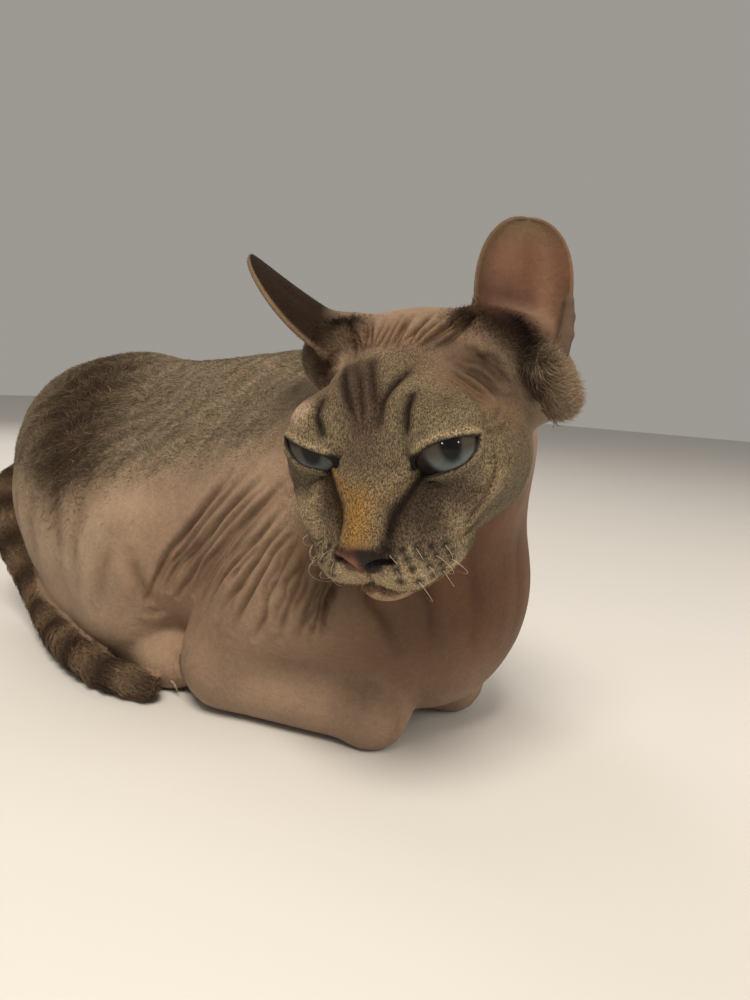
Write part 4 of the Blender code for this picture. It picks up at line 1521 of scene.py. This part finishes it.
def tuft_shape(rings):
    """Steps along a tuft for each of its points, and its triangles. Every tuft is closed."""
    faces = [(0, 2, 1)]
    for ring in range(rings - 1):
        for side in range(3):
            a, b = 3 * ring + side, 3 * ring + (side + 1) % 3
            faces += [(a, b, b + 3), (a, b + 3, a + 3)]
    top = 3 * rings - 3
    faces += [(top + side, top + (side + 1) % 3, top + 3) for side in range(3)]
    along = np.append(np.repeat(np.arange(rings) / rings, 3), 1.0)
    return along, np.array(faces)


ROUND = np.radians((90, 210, 330))
ROOT_DEPTH = 0.25  # of a tuft's foot below the skin
LOWEST_TUFT = 0.05  # nothing grows into the floor


def tuft_points(bed, site, roots, normals, weight, rng):
    """The points of every tuft: it rises from its root, bends over, and narrows to its tip."""
    ways = lie_of(site, normals)
    turn = bed.curl * swirl(roots) + rng.normal(0, bed.stray, bed.count)
    ways = np.cos(turn)[:, None] * ways + np.sin(turn)[:, None] * np.cross(normals, ways)
    across = np.cross(normals, ways)
    length = bed.length * rng.uniform(0.65, 1.2, bed.count) * (0.45 + 0.55 * weight)
    width = bed.width * rng.uniform(0.7, 1.3, bed.count)
    lift = bed.lift * rng.uniform(0.5, 1.5, bed.count)
    wave = bed.curl * rng.uniform(0.1, 0.35, bed.count) * rng.choice((-1, 1), bed.count)
    points = []
    for i, step in enumerate(tuft_shape(bed.rings)[0]):
        rise = length * (lift * step - 0.6 * lift * step**2) + ROOT_DEPTH * (step > 0) - ROOT_DEPTH
        centre = roots + ways * (length * step)[:, None] + normals * rise[:, None]
        centre += across * (wave * length * math.sin(2.6 * step))[:, None]
        edge = across * math.cos(ROUND[i % 3]) + normals * (0.55 * math.sin(ROUND[i % 3]))
        points.append(centre + edge * (width / 2 * (1 - step) ** 0.7)[:, None])
    points = np.stack(points, 1)
    points[:, :, 2] = np.maximum(points[:, :, 2], LOWEST_TUFT)
    return points


def tuft_tones(along, colours, ticked, weight, rng):
    """The colours of every tuft: darker at its root and paler at its tip, as painted shade down in the coat
    and painted light on the tips, and a share of them pale where it is ticked.
    """
    shade = 1 + rng.normal(0, 0.22, len(ticked)).clip(-0.5, 0.5)[:, None] * (0.6 + ticked)
    pale = (rng.random(len(ticked)) < 0.3)[:, None] * ticked
    base = colours * shade * (1 - 0.15 * ticked + pale)
    # painted shade at the roots and painted light at the tips
    return np.stack([base * (1 + weight[:, None] * (-0.3 + 0.55 * step)) for step in along], 1)


def make_coat(skin, bed, material, seed):
    rng = np.random.default_rng(seed)
    weight = bed.weight(skin)
    read = rooted(skin, weight, bed.count, rng)
    site = Site(*(read(values) for values in skin.site))
    along, faces = tuft_shape(bed.rings)
    points = tuft_points(bed, site, read(skin.points), unit(read(skin.normals)), read(weight), rng)
    ticked = read(ticking(skin.site))[:, None]
    tones = tuft_tones(along, read(skin.colours), ticked, read(weight), rng)
    offset = np.stack([PATCH * ((ROUND[np.arange(len(along)) % 3] / math.pi) % 1), PATCH * along], 1)
    obj = joined_tufts(bed.name, points, faces, tones, unwrapped(site)[:, None] + offset)
    finish_piece(obj, material)


def joined_tufts(name, points, faces, tones, places):
    """One mesh of many tufts of the same shape."""
    count, size = points.shape[:2]
    indices = (np.arange(count)[:, None, None] * size + faces).reshape(-1, 3)
    mesh = bpy.data.meshes.new(name)
    mesh.vertices.add(count * size)
    mesh.vertices.foreach_set("co", (points * MM).astype(np.float32).ravel())
    mesh.loops.add(indices.size)
    mesh.loops.foreach_set("vertex_index", indices.ravel().astype(np.int32))
    mesh.polygons.add(len(indices))
    mesh.polygons.foreach_set("loop_start", np.arange(0, indices.size, 3, dtype=np.int32))
    mesh.update(calc_edges=True)
    layer = mesh.uv_layers.new(name="OFBake")
    layer.data.foreach_set("uv", places.reshape(-1, 2)[indices.ravel()].astype(np.float32).ravel())
    shade_smooth(mesh)
    set_colours(mesh, np.column_stack([tones.reshape(-1, 3), np.ones(count * size)]))
    obj = bpy.data.objects.new(name, mesh)
    bpy.context.scene.collection.objects.link(obj)
    return obj


def coat_material():
    material, shader = new_material("soft coat", Roughness=0.85, Specular_IOR_Level=0.15)
    colour = add_node(material, "ShaderNodeAttribute", attribute_name="Coat")
    fine = spread(material, noise(material, 1400, 2), 0.3, 0.7, 0.85, 1.15)
    wire(material, scaled_colour(material, colour.outputs["Color"], fine), shader.inputs["Base Color"])
    return material


def rump_patch(site):
    """The dark patch on the rump, larger on the cat's right."""
    patch = near(site.body, [(-34, 88, 140), (-54, 76, 122), (-60, 62, 100)], 26)
    return np.maximum(patch, near(site.body, [(34, 88, 140), (54, 80, 122)], 20))


def on_trunk(skin, side):
    here = ramp(side * skin.site.body[:, 0], -1, 1)
    return here * (1 - skin.site.in_head) * (1 - skin.site.tail)


def ear_base_weight(skin):
    """The dark fur at the inner corner and the front of each ear."""
    head = skin.site.head
    left = near(head, [(19, -35, 24), (27, -34, 22), (34, -34, 18), (40, -32, 11)], 4.5)
    right = near(head, [(-21, -30, 21), (-28, -29, 15), (-35, -30, 12), (-40, -32, 10)], 6)
    return np.maximum(left, right)


def ear_tuft_weight(skin):
    return ramp(near(skin.site.head, EAR_TUFT, 6.5), 0.3, 0.9)


def face_weight(skin, side):
    here = ramp(side * skin.site.head[:, 0], -0.5, 0.5) * skin.site.in_head
    face = ticking(skin.site) * ramp(skin.eye_gap, 0.9, 2.2)
    return here * ramp(face, 0.08, 0.7) * (1 - skin.site.ear)


def feet_weight(skin):
    low = 1 - ramp(skin.site.body[:, 2], 16, 30)
    return low * (1 - skin.site.tail) * (1 - skin.site.in_head)


def sides_weight(skin, side):
    return on_trunk(skin, side) * (0.25 + 0.75 * ramp(skin.site.body[:, 1], -30, 60)) * (1 - skin.site.fur)


def back_weight(skin, side):
    return on_trunk(skin, side) * skin.site.fur


def rump_weight(skin):
    return rump_patch(skin.site) * (1 - skin.site.tail)


def tail_weight(skin):
    return skin.site.tail


def ears_weight(skin):
    return skin.site.ear * (1 - 0.75 * skin.site.hollow)


def pair(name, slot, count, weight, *shape):
    """Beds for the left and the right side."""
    sides = (("left", 1), ("right", -1))
    return [Bed(f"{name}_{word}", slot, count, partial(weight, side=side), *shape) for word, side in sides]


def make_coats(skin):
    beds = [
        *pair("coat_back", "furred_coat", 40500, back_weight, 3.6, 0.26, 0.34, 0.9, 0.3, 1),
        Bed("coat_rump", "furred_coat", 11000, rump_weight, 6.5, 0.42, 0.45, 1.8, 0.4, 3),
        Bed("coat_tail", "tail_coat", 17000, tail_weight, 5.5, 0.5, 0.45, 0.7, 0.3, 2),
        *pair("coat_face", "skin", 34000, face_weight, 1.6, 0.2, 0.35, 0.3, 0.35, 1),
        Bed("coat_ear_base", "furred_coat", 9000, ear_base_weight, 3.6, 0.3, 0.5, 0.6, 0.45, 2),
        Bed("coat_ear_tuft", "furred_coat", 5000, ear_tuft_weight, 7.5, 0.34, 0.5, 1.0, 0.5, 3),
        *pair("coat_side", "skin", 14000, sides_weight, 1.8, 0.12, 0.3, 0.3, 0.3, 1),
        Bed("coat_feet", "skin", 7500, feet_weight, 1.3, 0.14, 0.3, 0.2, 0.3, 1),
        Bed("coat_ears", "skin", 11000, ears_weight, 1.4, 0.12, 0.35, 0.2, 0.4, 1),
    ]
    material = coat_material()
    for seed, bed in enumerate(beds):
        make_coat(skin, bed, material, seed)


# Stage, camera and light

CAMERA_PLACE = Vector((-259.2, -301.6, 145.0))  # of the photo's camera, from the body's origin
CAMERA_AZIMUTH, CAMERA_TILT, CAMERA_ROLL = (math.radians(angle) for angle in (-50.0, 8.6, 3.4))
FOCAL = 780.0  # pixels
IMAGE_HEIGHT = 1000
SENSOR_HEIGHT = 36.0


def make_camera():
    upright = Vector((0, math.sin(CAMERA_TILT), math.cos(CAMERA_TILT)))
    forward = Vector((0, math.cos(CAMERA_TILT), -math.sin(CAMERA_TILT)))
    side = Vector((1, 0, 0))
    right = math.cos(CAMERA_ROLL) * side + math.sin(CAMERA_ROLL) * upright
    up = math.cos(CAMERA_ROLL) * upright - math.sin(CAMERA_ROLL) * side
    spin = Matrix.Rotation(CAMERA_AZIMUTH, 3, "Z")
    axes = Matrix((spin @ right, spin @ up, spin @ -forward)).transposed()
    data = bpy.data.cameras.new("Camera")
    data.sensor_fit = "VERTICAL"
    data.sensor_height = SENSOR_HEIGHT
    data.lens = FOCAL * SENSOR_HEIGHT / IMAGE_HEIGHT
    data.clip_start = 0.01
    camera = bpy.data.objects.new("Camera", data)
    position = Vector(BODY_AXIS) + CAMERA_PLACE
    camera.matrix_world = Matrix.Translation(position * MM) @ axes.to_4x4()
    bpy.context.scene.collection.objects.link(camera)
    bpy.context.scene.camera = camera


FLOOR_HALF = 3e3
LIT_PLACE = (-0.02, -0.03, 0.08)  # where every light points, in metres


def catch_light(name, position):
    """A small lamp that shows only as a spark in the wet eyes."""
    light = area_light(name, position, 0.12, 1.6, (1.0, 0.95, 0.88))
    light.visible_glossy = True
    light.visible_diffuse = False


def area_light(name, position, size, power, colour):
    """A round lamp that leaves no glint. Its place and size are in metres."""
    data = bpy.data.lights.new(name, "AREA")
    data.shape = "DISK"
    data.size = size
    data.energy = power
    data.color = colour
    light = bpy.data.objects.new(name, data)
    light.location = position
    way = Vector(LIT_PLACE) - Vector(position)
    light.rotation_euler = way.to_track_quat("-Z", "Y").to_euler()
    light.visible_glossy = False
    bpy.context.scene.collection.objects.link(light)
    return light


def make_stage():
    corners = np.array([(-1, -1, 0), (1, -1, 0), (1, 1, 0), (-1, 1, 0)]) * FLOOR_HALF
    floor = object_of("floor", corners, [(0, 1, 2, 3)])
    material = new_material("floor", Base_Color=(0.62, 0.60, 0.57, 1), Roughness=0.9)[0]
    floor.data.materials.append(material)
    world = bpy.data.worlds.new("World")
    world.use_nodes = True
    sky = world.node_tree.nodes["Background"]
    sky.inputs["Color"].default_value = (0.80, 0.76, 0.70, 1)
    sky.inputs["Strength"].default_value = 0.42
    bpy.context.scene.world = world
    area_light("key", (-0.62, -0.45, 1.15), 0.55, 18.5, (1.0, 0.91, 0.79))
    area_light("fill", (0.5, -1.2, 0.6), 0.9, 7, (1.0, 0.93, 0.84))
    area_light("rim", (0.3, 1.1, 0.9), 0.8, 7, (1.0, 0.95, 0.9))
    catch_light("spark_side", (-1.187, -0.538, 0.36))
    catch_light("spark_front", (-0.346, -1.282, 0.483))
    bpy.context.scene.view_settings.view_transform = "Standard"


# Materials


def set_inputs(node, **values):
    for name, value in values.items():
        node.inputs[name.replace("_", " ")].default_value = value


def new_material(name, **values):
    """A material, and its shader with these values on its sockets."""
    material = bpy.data.materials.new(name)
    material.use_nodes = True
    shader = material.node_tree.nodes["Principled BSDF"]
    set_inputs(shader, **values)
    return material, shader


def linear(colour):
    """An sRGB colour from 0 to 255 as linear numbers from 0 to 1."""
    share = np.asarray(colour, float) / 255
    return np.where(share < 0.04045, share / 12.92, ((share + 0.055) / 1.055) ** 2.4)


def add_node(material, kind, **settings):
    """A node. A setting with a capital letter is the value of a socket."""
    node = material.node_tree.nodes.new(kind)
    for name, value in settings.items():
        if name[0].isupper():
            set_inputs(node, **{name: value})
        else:
            setattr(node, name, value)
    return node


def wire(material, source, target):
    material.node_tree.links.new(source, target)


def noise(material, scale, detail, roughness=0.6, stretch=(1, 1, 1)):
    """Noise over the figure's own coordinates, with its size in features a metre."""
    place_node = add_node(material, "ShaderNodeTexCoord")
    mapping = add_node(material, "ShaderNodeMapping", Scale=stretch)
    texture = add_node(material, "ShaderNodeTexNoise", Scale=scale, Detail=detail, Roughness=roughness)
    wire(material, place_node.outputs["Object"], mapping.inputs["Vector"])
    wire(material, mapping.outputs["Vector"], texture.inputs["Vector"])
    return texture.outputs["Fac"]


def math_of(material, operation, first, second):
    """A sum or the like of two sockets or numbers."""
    node = add_node(material, "ShaderNodeMath", operation=operation)
    for socket, value in zip(node.inputs, (first, second)):
        if isinstance(value, (int, float)):
            socket.default_value = value
        else:
            wire(material, value, socket)
    return node.outputs[0]


def spread(material, value, low, high, new_low, new_high):
    """The value with the range from low to high laid on a new one."""
    limits = {"From_Min": low, "From_Max": high, "To_Min": new_low, "To_Max": new_high}
    node = add_node(material, "ShaderNodeMapRange", **limits)
    wire(material, value, node.inputs["Value"])
    return node.outputs["Result"]


def scaled_colour(material, colour, factor):
    node = add_node(material, "ShaderNodeVectorMath", operation="SCALE")
    wire(material, colour, node.inputs[0])
    wire(material, factor, node.inputs["Scale"])
    return node.outputs["Vector"]


def two_tone(name, dark, pale, scale, roughness):
    """A material that wanders between two colours."""
    material, shader = new_material(name, Roughness=roughness)
    tones = add_node(material, "ShaderNodeValToRGB")
    for element, colour, position in zip(tones.color_ramp.elements, (dark, pale), (0.35, 0.65)):
        element.color = (*linear(colour), 1)
        element.position = position
    wire(material, noise(material, scale, 2), tones.inputs["Fac"])
    wire(material, tones.outputs["Color"], shader.inputs["Base Color"])
    return material


def bump(material, height, depth, before=None):
    """Normals of a relief of this depth in millimetres, laid over those before it."""
    node = add_node(material, "ShaderNodeBump", Strength=1.0, Distance=depth * MM)
    wire(material, height, node.inputs["Height"])
    if before:
        wire(material, before, node.inputs["Normal"])
    return node.outputs["Normal"]


def skin_material():
    """The skin's painted colours with blotches, speckles where it is ticked, wrinkles and pores."""
    material, shader = new_material("skin", Roughness=0.6, Specular_IOR_Level=0.3)
    set_inputs(shader, Subsurface_Weight=0.12, Subsurface_Scale=2.5 * MM, Subsurface_Radius=(1.0, 0.4, 0.2))
    colour = add_node(material, "ShaderNodeAttribute", attribute_name="Coat")
    ticks = noise(material, 2300, 2, 0.65, (1, 1, 0.5))
    speckle = math_of(material, "SUBTRACT", spread(material, ticks, 0.38, 0.64, 0.32, 2.0), 1.0)
    amount = math_of(material, "MULTIPLY", speckle, colour.outputs["Alpha"])
    blotch = spread(material, noise(material, 45, 4), 0.3, 0.7, -0.14, 0.14)
    fine = spread(material, noise(material, 420, 3), 0.3, 0.7, -0.1, 0.1)
    waves = math_of(material, "ADD", blotch, fine)
    factor = math_of(material, "ADD", math_of(material, "ADD", amount, 1.0), waves)
    wire(material, scaled_colour(material, colour.outputs["Color"], factor), shader.inputs["Base Color"])
    wrinkles = bump(material, noise(material, 260, 5, 0.65), 0.6)
    wire(material, bump(material, ticks, 0.3, wrinkles), shader.inputs["Normal"])
    return material


def eye_material():
    """The painted iris under a clear wet coat."""
    material, shader = new_material("eye", Roughness=0.5, Specular_IOR_Level=0.1)
    set_inputs(shader, Coat_Weight=0.3, Coat_Roughness=0.02)
    colour = add_node(material, "ShaderNodeAttribute", attribute_name="Coat")
    wire(material, colour.outputs["Color"], shader.inputs["Base Color"])
    return material


def set_colours(mesh, colours):
    """Colours of four numbers a vertex, for the materials to read."""
    layer = mesh.attributes.new("Coat", "FLOAT_COLOR", "POINT")
    layer.data.foreach_set("color", colours.astype(np.float32).ravel())


def shade_smooth(mesh):
    mesh.polygons.foreach_set("use_smooth", [True] * len(mesh.polygons))


def finish_piece(obj, material):
    obj.data.materials.clear()
    obj.data.materials.append(material)
    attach(obj, "root")


FOLD_SHADE_LOSS = (0.48, 0.56, 0.62)  # shares of red, green and blue that the painted shade in a fold's depth takes


def make_skin():
    """The whole skin with its folds and lids, and its coat."""
    skin, points = settled_skin()
    site = site_of(points)
    points, valley = folded(points, normals_of(skin.data))
    head = seen_from(HEAD, points)
    for eye in EYES.values():
        head = shape_lids(eye, head)
    points = np.where(site.in_head[:, None] > 0.5, out_of(HEAD, head), points)
    points[:, 2] = np.maximum(points[:, 2], 0)  # flat where it rests on the floor
    set_points(skin.data, points)
    # Painted shade: the colours darken in the valleys of the folds, more on the head
    colours = markings_and_painted_light(site) * (1 - np.outer(valley * (0.75 + 0.5 * site.in_head), FOLD_SHADE_LOSS))
    set_colours(skin.data, np.column_stack([colours, ticking(site)]))
    make_coats(skin_of(skin.data, points, colours, site))
    return skin


def main():
    make_camera()
    make_stage()
    skin = make_skin()
    make_whiskers()
    make_claws()
    for name, eye in EYES.items():
        make_eyeball(f"eye_{name}", eye)
        make_lid_rim(f"lid_rim_{name}", eye)
    shade_smooth(skin.data)
    finish_piece(skin, skin_material())
    flesh = [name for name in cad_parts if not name.startswith("eye")]
    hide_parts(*flesh)


main()
